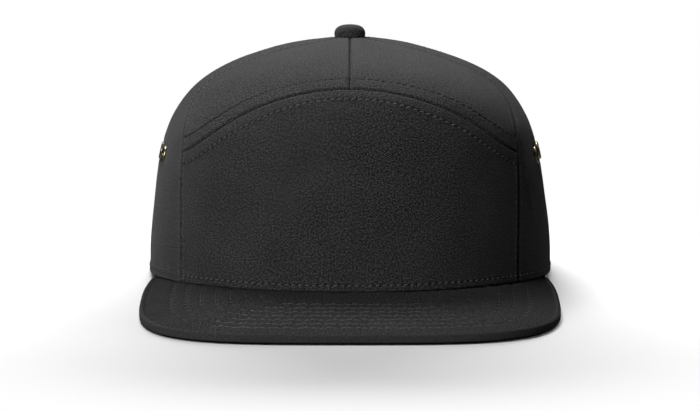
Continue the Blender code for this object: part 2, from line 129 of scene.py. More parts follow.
# Sewing
HALF_GAP = 0.00001
SEAM_DEPTH = 0.00180
SEAM_SHOULDER = 0.00125
PLATEAU_FALL = 0.0016
GROOVE_DEPTH = 0.00022
GROOVE_WIDTH = 0.00050
HOLE_DEPTH = 0.00050
HOLE_WIDTH = 0.00048
PUCKER_HEIGHT = 0.00011
PUCKER_REACH = 0.0040
STITCH_PITCH = 0.0030
STITCH_LENGTH = 0.0019
THREAD_RADIUS = 0.00025
SEAM_ROW = 0.0022
ARCH_ROW_ABOVE = 0.0066
ARCH_ROW_BELOW = 0.0059
RIM_ROW = 0.0031
OPENING_ROW = 0.0031
TAPE_HALF_WIDTH = 0.0060
TAPE_THICKNESS = 0.0005
SEAM_FOLD = 0.00018
ARCH_FOLD_ABOVE = 0.00026
ARCH_FOLD_BELOW = 0.00022
HEM_FOLD = 0.00030
SEAM_LAYER = 0.00022
SEAM_LAYER_REACH = 0.0058
SEAM_LAYER_FALL = 0.0006
TAPE_STEP = 0.00006
TAPE_ROWS = (2, 10)

# Ridges and grooves, as (height, distance from their line, reach)
PRESSED_SEAM = (0.00010, 0.0053, 0.0012)
SEAM_CREASE = (0.00006, 0.0, 0.0007)
EYELET_FOLDS = (0.00016, 0.0055, 0.0035)
FOLD_SLOPES = (0.00070, 0.0, 0.0022)
FOLD_CREST = (0.00045, 0.0, 0.0010)
SWEATBAND_GROOVE = (-0.00022, RIM_ROW, 0.0009)
PEAK_ROW_GROOVE = (-0.00040, 0.0, 0.0011)
PEAK_EDGE_RIDGE = (0.00055, 0.0010, 0.00045)
PEAK_RIDGE_FOOT = (-0.00016, 0.0024, 0.0008)

# Mesh
FINEST = 0.00007
FINE = 0.00038
COARSE_ACROSS = 0.0007
COARSE_UP = 0.0020
SEAM_BAND = 0.0065
HEM_ROWS = 4

CLOTH_UV = "cloth"


def mix(low, high, share):
    return low + (high - low) * share


def smooth(share):
    share = np.clip(share, 0.0, 1.0)
    return share * share * (3.0 - 2.0 * share)


def norms(vectors):
    return np.linalg.norm(vectors, axis=-1)


def unit(vectors):
    return vectors / np.maximum(norms(vectors)[..., None], 1e-12)


def bell(distance, width):
    return np.exp(-((distance / width) ** 2))


def ridge(distance, height, place, reach):
    return height * bell(distance - place, reach)


def sided(vectors, side):
    """Vectors of the wearer's left, mirrored for the right where side is -1."""
    return vectors * np.array((side, 1.0, 1.0))


def table_curve(rows, columns, name):
    """A smooth curve through one named column of a table, as a function of the run."""
    x, y = np.array([(row[0], row[columns.index(name)]) for row in rows]).T
    steps = np.diff(x)
    rises = np.diff(y) / steps
    inner = (rises[:-1] * steps[1:] + rises[1:] * steps[:-1]) / (steps[:-1] + steps[1:])
    slopes = np.concatenate((rises[:1], inner, rises[-1:]))

    def curve(run):
        k = np.clip(np.searchsorted(x, run, side="right") - 1, 0, len(x) - 2)
        u = (run - x[k]) / steps[k]
        value = (2 * u**3 - 3 * u**2 + 1) * y[k] + (3 * u**2 - 2 * u**3) * y[k + 1]
        return value + steps[k] * ((u**3 - 2 * u**2 + u) * slopes[k] + (u**3 - u**2) * slopes[k + 1])

    return curve


SECTION = {name: table_curve(SECTIONS, SECTION_COLUMNS, name) for name in SECTION_COLUMNS[1:]}
SEAM = {name: table_curve(SEAMS, SEAM_COLUMNS, name) for name in SEAM_COLUMNS[1:]}


def arch_run(across):
    drop = (1 + ARCH_ROUNDNESS) * across**2 - ARCH_ROUNDNESS * across**4
    return ARCH_MIDDLE_RUN - (ARCH_MIDDLE_RUN - ARCH_END_RUN) * drop


def rim_height(ahead):
    return FRONT_RIM_LIFT * smooth((ahead + RIM_FLAT_BEHIND) / (FRONT_REACH + RIM_FLAT_BEHIND))


def outer_points(run, turn):
    """Points of the crown's outer face. turn is in degrees round the button's axis, from +X to +Y."""
    run, turn = np.broadcast_arrays(np.asarray(run, float), np.asarray(turn, float))
    c, s = np.cos(np.radians(turn)), np.sin(np.radians(turn))
    at_back = s > 0
    squareness = np.where(at_back, BACK_SQUARENESS, FRONT_SQUARENESS)
    out = np.where(at_back, SECTION["back_out"](run), SECTION["front_out"](run))
    end_up = np.where(at_back, SECTION["back_up"](run), SECTION["front_up"](run))
    along = np.where(at_back, BACK_REACH, FRONT_REACH) * s * (1 + squareness * c * c)
    rim = rim_height(-along)
    up = SECTION["side_up"](run) * c * c + end_up * s * s
    x = HALF_WIDTH * SECTION["side_out"](run) * c * (1 + squareness * s * s)
    return np.stack((x, out * along + FOOTPRINT_SHIFT, mix(rim, BUTTON_HEIGHT, up)), axis=-1)


def slopes_at(run, turn):
    """How the crown's outer face runs up and round at each point."""
    run_step, turn_step = 0.003, 0.4
    up = (outer_points(run + run_step, turn) - outer_points(run - run_step, turn)) / (2 * run_step)
    around = (outer_points(run, turn + turn_step) - outer_points(run, turn - turn_step)) / (2 * turn_step)
    return up, around


def outer_normals(run, turn):
    up, around = slopes_at(run, turn)
    return unit(np.cross(around, up))


def crown_surface(run, turn, side=1, depth=0.0):
    """Points at a depth under the crown's outer face, and its normals there."""
    normals = sided(outer_normals(run, turn), side)
    return sided(outer_points(run, turn), side) - depth * normals, normals


def find(function, low, high):
    """Where a rising function of an array crosses zero, by halving."""
    for _ in range(32):
        middle = (low + high) / 2
        below = function(middle) < 0
        low, high = np.where(below, middle, low), np.where(below, high, middle)
    return (low + high) / 2


def run_up_to(z, turn):
    """The run at which the outer face reaches this z."""
    return find(lambda run: outer_points(run, turn)[..., 2] - z, 0.0, 0.7)


def back_place(x, z):
    """The run and turn of the point of the back with this x and z."""
    run = 0.0
    for _ in range(8):
        turn = find(lambda t: x - outer_points(run, t)[..., 0], 0.0, BACK)
        run = run_up_to(z, turn)
    return run, turn


def distances(points):
    """How far along a line each of its points is."""
    return np.concatenate(([0.0], np.cumsum(norms(np.diff(points, axis=0)))))


def even(count, low=0.0, high=1.0):
    return np.linspace(low, high, count)


def sampled(points, along, at):
    """The points of a line at distances along it."""
    return np.stack([np.interp(at, along, points[:, axis]) for axis in range(points.shape[1])], axis=1)


def evened(points, count):
    """A line of points moved to even distances along itself."""
    along = distances(points)
    return sampled(points, along, even(count, 0.0, along[-1]))


def graded(length, coarse, fine_low=True, fine_high=True):
    """Shares of a length, close together beside the ends that are seams, and wider between them."""
    half = [0.0]
    while half[-1] < length:
        beyond = max(half[-1] - SEAM_BAND, 0.0)
        half.append(half[-1] + min(coarse, FINE + 0.25 * beyond, FINEST + 0.36 * half[-1]))
    half = np.array(half)
    if fine_low and fine_high:
        near = half[half < length / 2]
        return np.concatenate((near, length - near[::-1])) / length
    plain = half / half[-1]
    return plain if fine_low else 1 - plain[::-1]


def nearest(points, line, along=None):
    """The distance from each point to a line of close points, and how far along the line that is."""
    along = distances(line) if along is None else along
    tangents = unit(np.gradient(line, axis=0))
    spacing = along[1] - along[0]
    flat = points.reshape(-1, points.shape[-1])
    distance, place = np.empty((2, len(flat)))
    for start in range(0, len(flat), 4000):
        part = slice(start, start + 4000)
        k = ((line**2).sum(1) - 2 * flat[part] @ line.T).argmin(1)
        offset = flat[part] - line[k]
        ahead = np.clip((offset * tangents[k]).sum(1), -spacing, spacing)
        distance[part] = norms(offset - ahead[:, None] * tangents[k])
        place[part] = along[k] + ahead
    return distance.reshape(points.shape[:-1]), place.reshape(points.shape[:-1])


class Line:
    """A line along the crown's outer face, such as a seam or a row of stitches."""

    SPACING = 0.0005

    def __init__(self, run, turn):
        run, turn = np.broadcast_arrays(run, turn)
        along = distances(outer_points(run, turn))
        self.along = even(max(int(along[-1] / self.SPACING), 2) + 1, 0.0, along[-1])
        self.run = np.interp(self.along, along, run)
        self.turn = np.interp(self.along, along, turn)
        self.points = outer_points(self.run, self.turn)

    def nearest(self, points):
        return nearest(points, self.points, self.along)

    def stepped(self, distance):
        """The run and turn of the points at a distance sideways from the line, on the crown."""
        up, around = slopes_at(self.run, self.turn)
        tangents = unit(np.gradient(self.points, axis=0))
        sideways = unit(np.cross(outer_normals(self.run, self.turn), tangents))
        uu, ur, rr = (up * up).sum(1), (up * around).sum(1), (around * around).sum(1)
        su, sr = (up * sideways).sum(1), (around * sideways).sum(1)
        scale = distance / (uu * rr - ur * ur)
        return self.run + scale * (rr * su - ur * sr), self.turn + scale * (uu * sr - ur * su)

    def beside(self, distance, panel):
        """The line at a distance from this one, on the side and as far as the panel reaches."""
        found = [self.stepped(sign * distance) for sign in (1, -1)]
        run, turn = max(found, key=lambda place: inside(panel, *place).sum())
        keep = inside(panel, run, turn)
        return Line(run[keep], turn[keep])


# Where the panels are, on the wearer's left, with the right mirrored. Rows of stitches end at ROWS_END_RUN.
SEAM_CLEAR = 0.005
ROWS_END_RUN = 0.978


def opening_height(x):
    return OPENING_HEIGHT * np.sqrt(np.clip(1 - (x / OPENING_HALF_WIDTH) ** 2, 0.0, 1.0))


def inside(panel, run, turn):
    """Which places, on the wearer's left, lie on a panel where its rows of stitches run."""
    ahead = turn - FRONT
    across = ahead / SEAM["front_seam"](run)
    points = outer_points(run, turn)
    on_panel = {
        "front_panel": (abs(across) < 1 - SEAM_CLEAR) & (run < arch_run(across)),
        "top_panel": (across > SEAM_CLEAR) & (across < 1 - SEAM_CLEAR) & (run > arch_run(across)),
        "side_panel": (across > 1) & (ahead < SEAM["back_seam"](run)),
        "back_panel": (ahead > SEAM["back_seam"](run)) & (turn < BACK - 0.2)
        & (points[..., 2] > opening_height(points[..., 0])),
    }
    return on_panel[panel] & (run > 0) & (run < ROWS_END_RUN)


def opening_turns(shares):
    """The run and turn of points at shares of the way up the opening's edge to its top."""
    angles = np.radians(90.0 * shares)
    return back_place(OPENING_HALF_WIDTH * np.cos(angles), OPENING_HEIGHT * np.sin(angles))


RUNS = even(400, 0.0, TOP_RUN)
ARCH_RUNS = arch_run(even(300))
ARCH_TURNS = even(300) * SEAM["front_seam"](ARCH_RUNS)
OPENING_RUNS, OPENING_TURNS = opening_turns(even(90))
RIM_START = 0.010

LINES = {
    "front_seam": Line(RUNS, FRONT + SEAM["front_seam"](RUNS)),
    "front_seam_right": Line(RUNS, FRONT - SEAM["front_seam"](RUNS)),
    "back_seam": Line(RUNS, FRONT + SEAM["back_seam"](RUNS)),
    "arch": Line(ARCH_RUNS, FRONT + ARCH_TURNS),
    "arch_right": Line(ARCH_RUNS, FRONT - ARCH_TURNS),
    "middle_front": Line(even(200, ARCH_MIDDLE_RUN, TOP_RUN), FRONT),
    "middle_back": Line(even(200, OPENING_RUNS[-1], TOP_RUN), BACK),
    "rim": Line(0.0, even(900, -220.0, OPENING_TURNS[0])),
    "opening": Line(OPENING_RUNS, OPENING_TURNS),
}

# Each panel's seams, as (line, row of stitches from it, height of the folded cloth beside it)
RIM_SEAM = ("rim", RIM_ROW, HEM_FOLD)
FRONT_SEAM = ("front_seam", SEAM_ROW, SEAM_FOLD)
BACK_SEAM = ("back_seam", SEAM_ROW, SEAM_FOLD)
PANEL_SEAMS = {
    "front_panel": (
        FRONT_SEAM,
        ("front_seam_right", SEAM_ROW, SEAM_FOLD),
        ("arch", ARCH_ROW_BELOW, ARCH_FOLD_BELOW),
        ("arch_right", ARCH_ROW_BELOW, ARCH_FOLD_BELOW),
        RIM_SEAM,
    ),
    "top_panel": (FRONT_SEAM, ("arch", ARCH_ROW_ABOVE, ARCH_FOLD_ABOVE), ("middle_front", 0.0, 0.0)),
    "side_panel": (FRONT_SEAM, BACK_SEAM, RIM_SEAM),
    "back_panel": (
        BACK_SEAM,
        ("middle_back", SEAM_ROW, SEAM_FOLD),
        RIM_SEAM,
        ("opening", OPENING_ROW, HEM_FOLD),
    ),
}
HEMS = ("rim", "opening")
PANEL_ROWS = {
    panel: [(LINES[name].beside(row, panel), name) for name, row, _ in seams if row]
    for panel, seams in PANEL_SEAMS.items()
}
SLIGHT_ROWS = ("front_seam", "front_seam_right", "back_seam", "middle_back")
SLIGHT = 0.30
SLIGHT_SINK = 0.00010


def ripple(along):
    """An uneven wave along a row of stitches, from the pull of its thread."""
    slow = np.sin(along * math.tau / 0.0093 + 1.7 * np.sin(along * math.tau / 0.043))
    fast = np.sin(along * math.tau / 0.0056 + 2.1 * np.sin(along * math.tau / 0.031))
    return 0.6 * slow + 0.4 * fast


def pierced(along):
    """How much a needle hole shows at each distance along a row."""
    return (0.5 + 0.5 * np.cos(along * math.tau / STITCH_PITCH)) ** 2


def sewn_relief(panel, points):
    """How far sewing lifts the cloth: seams fold it down, rows of stitches pull it in."""
    relief = np.zeros(points.shape[:-1])
    for name, row, height in PANEL_SEAMS[panel]:
        distance, _ = LINES[name].nearest(points)
        if name not in HEMS:
            over = np.clip(1 - distance / SEAM_SHOULDER, 0.0, 1.0)
            relief -= SEAM_DEPTH * (1 - np.sqrt(1 - over**2))
        relief += height * (1 - smooth((distance - row) / PLATEAU_FALL))
        if name == "middle_front":
            relief += ridge(distance, *PRESSED_SEAM)
    for line, name in PANEL_ROWS[panel]:
        distance, along = line.nearest(points)
        strength = SLIGHT if name in SLIGHT_ROWS else 1.0
        relief -= strength * GROOVE_DEPTH * bell(distance, GROOVE_WIDTH)
        relief += strength * PUCKER_HEIGHT * ripple(along) * bell(distance, PUCKER_REACH)
        if name not in SLIGHT_ROWS:
            relief -= HOLE_DEPTH * pierced(along) * bell(distance, HOLE_WIDTH)
    return relief


def cloth_noise(points, waves):
    """Uneven cloth, as (wavelength, height) waves of smooth noise."""
    flat = points.reshape(-1, 3)
    heights = sum(height * np.array([noise.noise(Vector(p)) for p in flat / size]) for size, height in waves)
    return heights.reshape(points.shape[:-1])


CROWN_WAVES = ((0.040, 0.00045), (0.013, 0.00010))


def eyelet_seats(side):
    """Where the eyelets sit on one side: (place, point, normal)."""
    reach = FRONT_REACH * SECTION["front_out"](EYELET_RUN) * (1 + FRONT_SQUARENESS)
    return [
        (place, *crown_surface(EYELET_RUN, math.degrees(math.asin(-ahead / reach)), side))
        for place, ahead in EYELET_PLACES
    ]


def eyelet_relief(points, side):
    """The eyelets press a dimple into the cloth and gather it in short folds."""
    relief = np.zeros(points.shape[:-1])
    for _, point, _ in eyelet_seats(side):
        offset = points - point
        distance = norms(offset)
        angle = np.arctan2(offset[..., 2], offset[..., 1])
        relief += np.cos(5 * angle + 0.8 * side) * ridge(distance, *EYELET_FOLDS)
        relief -= EYELET_DIMPLE * np.exp(-((distance / EYELET_DIMPLE_REACH) ** 4))
    return relief


# A soft fold behind the wearer's left side seam, as (run, degrees behind the seam)
LEFT_FOLD = ((0.22, 12.0), (0.34, 7.0), (0.45, 4.5), (0.58, 2.5), (0.66, 1.0))
FOLD_FADE = 0.020


def fold_relief(points):
    runs = even(120, LEFT_FOLD[0][0], LEFT_FOLD[-1][0])
    behind = np.interp(runs, *zip(*LEFT_FOLD))
    fold = Line(runs, FRONT + SEAM["front_seam"](runs) + behind)
    distance, along = fold.nearest(points)
    ends = smooth(along / FOLD_FADE) * smooth((fold.along[-1] - along) / FOLD_FADE)
    return ends * (ridge(distance, *FOLD_SLOPES) + ridge(distance, *FOLD_CREST))


def panel_relief(panel, side, points):
    """The relief from sewing and that of the cloth itself, at points given as on the wearer's left."""
    placed = sided(points, side)
    loose = cloth_noise(placed, CROWN_WAVES)
    if panel == "side_panel":
        loose += eyelet_relief(placed, side)
        if side == 1:
            loose += fold_relief(points)
    return sewn_relief(panel, points), loose


def rolled(outer, inner):
    """Adds rows that round the lower edge between a wall's two faces."""
    middle, half = (outer[:, 0] + inner[:, 0]) / 2, (outer[:, 0] - inner[:, 0]) / 2
    down = np.cross(unit(np.gradient(middle, axis=0)), unit(half)) * norms(half)[:, None]
    down *= np.sign((down * (middle - outer[:, 3])).sum(1, keepdims=True))
    angles = np.radians(90 - 90 * (np.arange(HEM_ROWS) + 0.5) / HEM_ROWS)[:, None]
    lower = middle[:, None] + down[:, None] * np.sin(angles)
    aside = half[:, None] * np.cos(angles)
    return np.concatenate((lower + aside, outer), axis=1), np.concatenate((lower - aside, inner), axis=1)


def grid_faces(index, flip):
    """Quads between the vertices whose numbers a grid holds."""
    quads = np.stack((index[:-1, :-1], index[1:, :-1], index[1:, 1:], index[:-1, 1:]), axis=-1).reshape(-1, 4)
    return quads[:, ::-1] if flip else quads


def ring_faces(rings, sides, closed=False):
    """Quads between rings of vertices that are numbered one ring after another."""
    index = np.arange(rings * sides).reshape(rings, sides)
    low, high = (index, np.roll(index, -1, axis=0)) if closed else (index[:-1], index[1:])
    quads = np.stack((low, np.roll(low, -1, axis=1), np.roll(high, -1, axis=1), high), axis=-1)
    return quads.reshape(-1, 4)


def circle(sides):
    """The cosine and sine of even angles round a circle."""
    angles = math.tau * np.arange(sides) / sides
    return np.stack((np.cos(angles), np.sin(angles)), axis=1)


def cloth_coordinates(points):
    """Flat coordinates of a grid in metres, measured along it from its middle column and lowest row."""
    steps = norms(np.diff(points, axis=0))
    across = np.cumsum(np.pad(steps, ((1, 0), (0, 0))), axis=0)
    middle = len(points) // 2
    up = np.broadcast_to(distances(points[middle]), across.shape)
    return np.stack((across - across[middle], up), axis=-1)


def add_mesh(name, vertices, faces, coordinates=None, sharp=None):
    mesh = bpy.data.meshes.new(name)
    mesh.from_pydata(np.asarray(vertices).tolist(), [], [list(map(int, face)) for face in faces])
    if coordinates is not None:
        layer = mesh.uv_layers.new(name=CLOTH_UV)
        corners = np.empty(len(mesh.loops), dtype=np.int32)
        mesh.loops.foreach_get("vertex_index", corners)
        layer.data.foreach_set("uv", np.asarray(coordinates)[corners].ravel())
    mesh.shade_smooth()
    if sharp:
        mesh.set_sharp_from_angle(angle=math.radians(sharp))
    obj = bpy.data.objects.new(name, mesh)
    bpy.context.scene.collection.objects.link(obj)
    return obj


def wall(name, outer, inner, flip=False, sharp=50.0, fold_after=0.0):
    """A closed wall between two grids of the same size.

    The flat coordinates fold back over the first row, or this far after the last row.
    """
    columns, rows = outer.shape[:2]
    count = columns * rows
    index = np.arange(count).reshape(columns, rows)
    edges = ((index[:, 0], not flip), (index[:, -1], flip), (index[0], flip), (index[-1], not flip))
    faces = [grid_faces(index, flip), grid_faces(index + count, not flip)]
    faces += [grid_faces(np.stack((edge, edge + count), axis=1), turned) for edge, turned in edges]
    flat = cloth_coordinates(outer).reshape(-1, 2)
    fold = flat[:, 1].max() + fold_after if fold_after else 0.0
    back = np.stack((flat[:, 0], 2 * fold - flat[:, 1]), axis=1)
    vertices = np.concatenate((outer.reshape(-1, 3), inner.reshape(-1, 3)))
    return add_mesh(name, vertices, np.concatenate(faces), np.concatenate((flat, back)), sharp)


def repeated(name, copies, *shapes):
    """A mesh of many like shapes. copies is (copy, vertex, axis), and each shape holds faces of one copy."""
    starts = copies.shape[1] * np.arange(len(copies))[:, None, None]
    faces = []
    for shape in shapes:
        faces += (starts + np.array(shape)).reshape(-1, len(shape[0])).tolist()
    return add_mesh(name, copies.reshape(-1, 3), faces)


def seat_matrix(point, normal):
    turn = Vector(normal).to_track_quat("Z", "Y").to_matrix().to_4x4()
    return Matrix.Translation(Vector(point)) @ turn


def seated(matrix, sides, profile):
    """Rings round a seat's axis, one for each (radius, height) of a profile."""
    return [matrix @ Vector((r * c, r * s, height)) for r, height in profile for c, s in circle(sides)]


def dress(obj, material, slot, *nodes):
    """Gives a piece its material and its body, and hides the nodes that it stands for; the slot is not used.
    """
    obj.data.materials.clear()
    obj.data.materials.append(material)
    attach(obj, "root")
    if nodes:
        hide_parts(*nodes)
    return obj


# Materials
class Nodes:
    """Short calls to build one node tree."""

    def __init__(self, owner):
        owner.use_nodes = True
        self.owner = owner
        self.tree = owner.node_tree

    def feed(self, node, values):
        """Sets a node's inputs by name, each to a value or from another node's socket."""
        for key, value in values.items():
            if isinstance(value, bpy.types.NodeSocket):
                self.tree.links.new(value, node.inputs[key])
            else:
                node.inputs[key].default_value = value

    def add(self, kind, values=None, **settings):
        node = self.tree.nodes.new(f"ShaderNode{kind}")
        for key, value in settings.items():
            setattr(node, key, value)
        self.feed(node, values or {})
        return node

    def math(self, operation, *values, clamp=False):
        return self.add("Math", dict(enumerate(values)), operation=operation, use_clamp=clamp).outputs[0]

    def total(self, *terms):
        """The sum of sockets that each have a weight."""
        result = 0.0
        for socket, weight in terms:
            result = self.math("MULTIPLY_ADD", socket, weight, result)
        return result

    def place(self):
        return self.add("TexCoord").outputs["Object"]

    def noise(self, vector, size, detail=2.0, roughness=0.5):
        values = {"Scale": 1 / size, "Detail": detail, "Roughness": roughness, "Vector": vector}
        return self.add("TexNoise", values).outputs["Fac"]

    def wave(self, vector, degrees, pitch, distortion):
        turn = {"Rotation": (0.0, 0.0, math.radians(degrees)), "Vector": vector}
        turned = self.add("Mapping", turn).outputs["Vector"]
        values = {"Vector": turned, "Scale": math.tau / 20 / pitch, "Distortion": distortion}
        values |= {"Detail": 1.0, "Detail Scale": 1.0}
        bands = self.add("TexWave", values, wave_type="BANDS", bands_direction="X", wave_profile="SIN")
        return bands.outputs["Fac"]

    def ramp(self, factor, *stops):
        node = self.add("ValToRGB", {"Fac": factor})
        elements = node.color_ramp.elements
        while len(elements) < len(stops):
            elements.new(0.5)
        for element, (position, colour) in zip(elements, stops):
            element.position = position
            element.color = colour
        return node.outputs["Color"]

    def bump(self, height, strength, distance):
        values = {"Strength": strength, "Distance": distance, "Height": height}
        return self.add("Bump", values).outputs["Normal"]

    def material(self, **values):
        """Sets the shader's inputs, whose names are given with underscores, and returns the material."""
        named = {key.replace("_", " "): value for key, value in values.items()}
        self.feed(self.tree.nodes["Principled BSDF"], named)
        return self.owner


def grey(level):
    return (level, level, level, 1.0)


def twill_material(name, level, wale=0.00075, angle=55.0, gloss=0.25, sheen=0.12, grain=(0.00074, 0.00046),
                   spread=0.075, edge_highlight_and_wear=0.0):
    """Cotton twill: slanted ribs of uneven yarn with slubs and lint, with a painted highlight that lightens
    it where its surface tilts from level, as over its folds and edges.
    """
    n = Nodes(bpy.data.materials.new(name))
    cloth = n.add("UVMap", uv_map=CLOTH_UV).outputs["UV"]
    ribs = n.wave(cloth, angle, wale, 2.5)
    yarns = n.wave(cloth, angle - 90.0, 0.7 * wale, 3.0)
    slubs, fuzz = (n.noise(cloth, size, 2.0, 0.6) for size in grain)
    weave = n.total((ribs, 0.65), (yarns, 0.35))
    lint = n.total((slubs, 0.6), (fuzz, 0.4))
    texture = n.total((weave, 0.12), (lint, 0.88))
    shade = n.total((texture, 0.96), (n.noise(n.place(), 0.016), 0.04))
    stops = ((0.50 - spread, 0.10), (0.50, 0.85), (0.50 + 1.1 * spread, 3.2))
    colour = n.ramp(shade, *((at, grey(share * level)) for at, share in stops))
    # Painted highlight: the colour is mixed towards a lighter grey where the surface normal tilts away from
    # upright.
    if edge_highlight_and_wear:
        normal = n.add("SeparateXYZ", {0: n.add("NewGeometry").outputs["Normal"]})
        slope = n.math("SUBTRACT", 1.0, n.math("ABSOLUTE", normal.outputs["Z"]))
        share = n.math("MULTIPLY", n.math("MULTIPLY", slope, 4.0, clamp=True), 0.6)
        highlighted = n.add("MixRGB", {"Fac": share, "Color1": colour, "Color2": grey(edge_highlight_and_wear)})
        colour = highlighted.outputs["Color"]
    bump = n.bump(n.total((weave, 0.5), (lint, 0.9)), 0.8, 0.00030)
    return n.material(
        Base_Color=colour, Normal=bump, Roughness=0.88, Specular_IOR_Level=gloss, Sheen_Weight=sheen,
        Sheen_Roughness=0.40,
    )


def thread_material(name, level):
    """Sewing thread, with the twist of its strands."""
    n = Nodes(bpy.data.materials.new(name))
    twist = n.wave(n.place(), 40.0, 0.00035, 1.0)
    shade = n.total((twist, 0.5), (n.noise(n.place(), 0.002), 0.5))
    colour = n.ramp(shade, (0.2, grey(0.6 * level)), (0.8, grey(1.4 * level)))
    bump = n.bump(twist, 0.5, 0.0001)
    gloss = dict(Roughness=0.55, Specular_IOR_Level=0.40, Sheen_Weight=0.08)
    return n.material(Base_Color=colour, Normal=bump, **gloss)


def plastic_material(name, level):
    """Moulded plastic with a fine grain and faint handling marks."""
    n = Nodes(bpy.data.materials.new(name))
    marks = n.noise(n.place(), 0.006, 4.0, 0.65)
    colour = n.ramp(marks, (0.3, grey(0.8 * level)), (0.7, grey(1.25 * level)))
    bump = n.bump(n.noise(n.place(), 0.0005), 0.25, 0.00006)
    return n.material(Base_Color=colour, Normal=bump, Roughness=n.math("MULTIPLY_ADD", marks, 0.25, 0.30))


BRASS = ((0.30, (0.05, 0.038, 0.020, 1.0)), (0.52, (0.22, 0.18, 0.10, 1.0)), (0.75, (0.60, 0.53, 0.38, 1.0)))


def metal_material(name):
    """Antique brass: dull and brown in the hollows, bright on the rolled edge."""
    n = Nodes(bpy.data.materials.new(name))
    patina = n.noise(n.place(), 0.0011, 4.0, 0.65)
    edge_highlight_and_wear = n.add("NewGeometry").outputs["Pointiness"]
    edge = n.math("MULTIPLY", n.math("SUBTRACT", edge_highlight_and_wear, 0.5), 4.0)
    shade = n.math("ADD", patina, edge, clamp=True)
    roughness = n.math("MULTIPLY_ADD", shade, -0.28, 0.52)
    bump = n.bump(patina, 0.2, 0.00005)
    return n.material(Base_Color=n.ramp(shade, *BRASS), Normal=bump, Roughness=roughness, Metallic=1.0)


CROWN_TWILL = twill_material("crown_twill", 0.030)
# The peak is the crown's cloth: its lower level is painted shade, and its lightening over edges is a painted
# highlight.
PEAK_TWILL = twill_material(
    "peak_twill", 0.020, angle=35.0, gloss=0.06, sheen=0.03, grain=(0.00095, 0.00055), spread=0.070,
    edge_highlight_and_wear=0.065,
)
BAND_TWILL = twill_material("sweatband_twill", 0.026, wale=0.0006)
# The same black thread at four levels: the crown and peak threads are lighter with painted sheen, and the
# yoke and peak side threads are darker with painted shade.
THREAD = thread_material("thread", 0.110)
PEAK_THREAD = thread_material("peak_thread", 0.065)
SHADED_PEAK_SIDE_THREAD = thread_material("shaded_peak_side_thread", 0.014)
SHADED_YOKE_THREAD = thread_material("shaded_yoke_thread", 0.012)
# Painted shade: near-black patches put on the cloth where the needle holes' shade would be.
PAINTED_HOLE_SHADE = thread_material("painted_hole_shade", 0.002)
PLASTIC = plastic_material("strap_plastic", 0.018)
METAL = metal_material("eyelet_metal")


# Crown panels
ARCH_GAP_RUN = HALF_GAP / 0.12


def seam_to_seam(run, first_turn, last_turn, shares, gap_last=True):
    """Turns at shares of the way between two seams, drawn in a little from each."""
    inset = HALF_GAP / norms(outer_points(run, last_turn) - outer_points(run, first_turn))
    return mix(first_turn, last_turn, mix(inset, 1 - inset * gap_last, shares))


def front_grid():
    across = 2 * graded(0.198, COARSE_ACROSS)[:, None] - 1
    run = mix(RIM_START, arch_run(across) - ARCH_GAP_RUN, graded(0.085, COARSE_UP)[None, :])
    edge = SEAM["front_seam"](run)
    return run, seam_to_seam(run, FRONT - edge, FRONT + edge, (across + 1) / 2)


def top_grid():
    across = graded(0.085, COARSE_ACROSS)[:, None]
    run = mix(arch_run(across) + ARCH_GAP_RUN, TOP_RUN, graded(0.070, COARSE_UP, fine_high=False)[None, :])
    return run, seam_to_seam(run, FRONT, FRONT + SEAM["front_seam"](run), across)


def side_grid():
    across = graded(0.105, COARSE_ACROSS)[:, None]
    eyelet_share = (EYELET_RUN - RIM_START) / (TOP_RUN - RIM_START)
    beside_eyelets = even(31, eyelet_share - 0.08, eyelet_share + 0.08)
    up = graded(0.145, COARSE_UP, fine_high=False)
    up = np.sort(np.concatenate((up[abs(up - eyelet_share) > 0.083], beside_eyelets)))[None, :]
    run = mix(RIM_START, TOP_RUN, up) + 0.0 * across
    return run, seam_to_seam(run, FRONT + SEAM["front_seam"](run), FRONT + SEAM["back_seam"](run), across)


def back_grid():
    """Columns beside the opening stand on the rim, and those over it on the opening's arch."""
    beside = graded(0.060, COARSE_ACROSS, fine_high=False)[:, None]
    up = graded(0.125, COARSE_UP, fine_high=False)[None, :]
    run_beside = mix(RIM_START, TOP_RUN, up) + 0.0 * beside
    edge = OPENING_TURNS[0]
    turn_beside = seam_to_seam(run_beside, FRONT + SEAM["back_seam"](run_beside), edge, beside, False)
    low, turn_over = opening_turns(graded(0.066, COARSE_ACROSS, fine_low=False))
    low, turn_over = low[1:, None], turn_over[1:, None]
    run_over = mix(np.maximum(low, RIM_START), TOP_RUN, up)
    width = norms(outer_points(run_over, edge) - outer_points(run_over, BACK))
    turn_over = BACK - (BACK - turn_over) * (1 - HALF_GAP / width) - (BACK - edge) * HALF_GAP / width
    return np.concatenate((run_beside, run_over)), np.concatenate((turn_beside, turn_over))


def crown_panel(panel, side, run, turn):
    """One panel's outer and inner grids. side is 1 on the wearer's left and -1 on the right."""
    points = outer_points(run, turn)
    sewn, loose = panel_relief(panel, side, points)
    lining = np.zeros_like(sewn)
    for name, _, _ in PANEL_SEAMS[panel]:
        if name not in HEMS:
            distance, _ = LINES[name].nearest(points)
            lining += SEAM_LAYER * (1 - smooth((distance - SEAM_LAYER_REACH) / SEAM_LAYER_FALL))
            lining -= ridge(distance, *SEAM_CREASE)
    points, normals = crown_surface(run, turn, side)
    outer = points + normals * (sewn + loose)[..., None]
    inner = points - normals * (CLOTH - 0.6 * loose + lining)[..., None]
    inner[..., 2] = np.maximum(inner[..., 2], points[:, :1, 2])
    return outer, inner


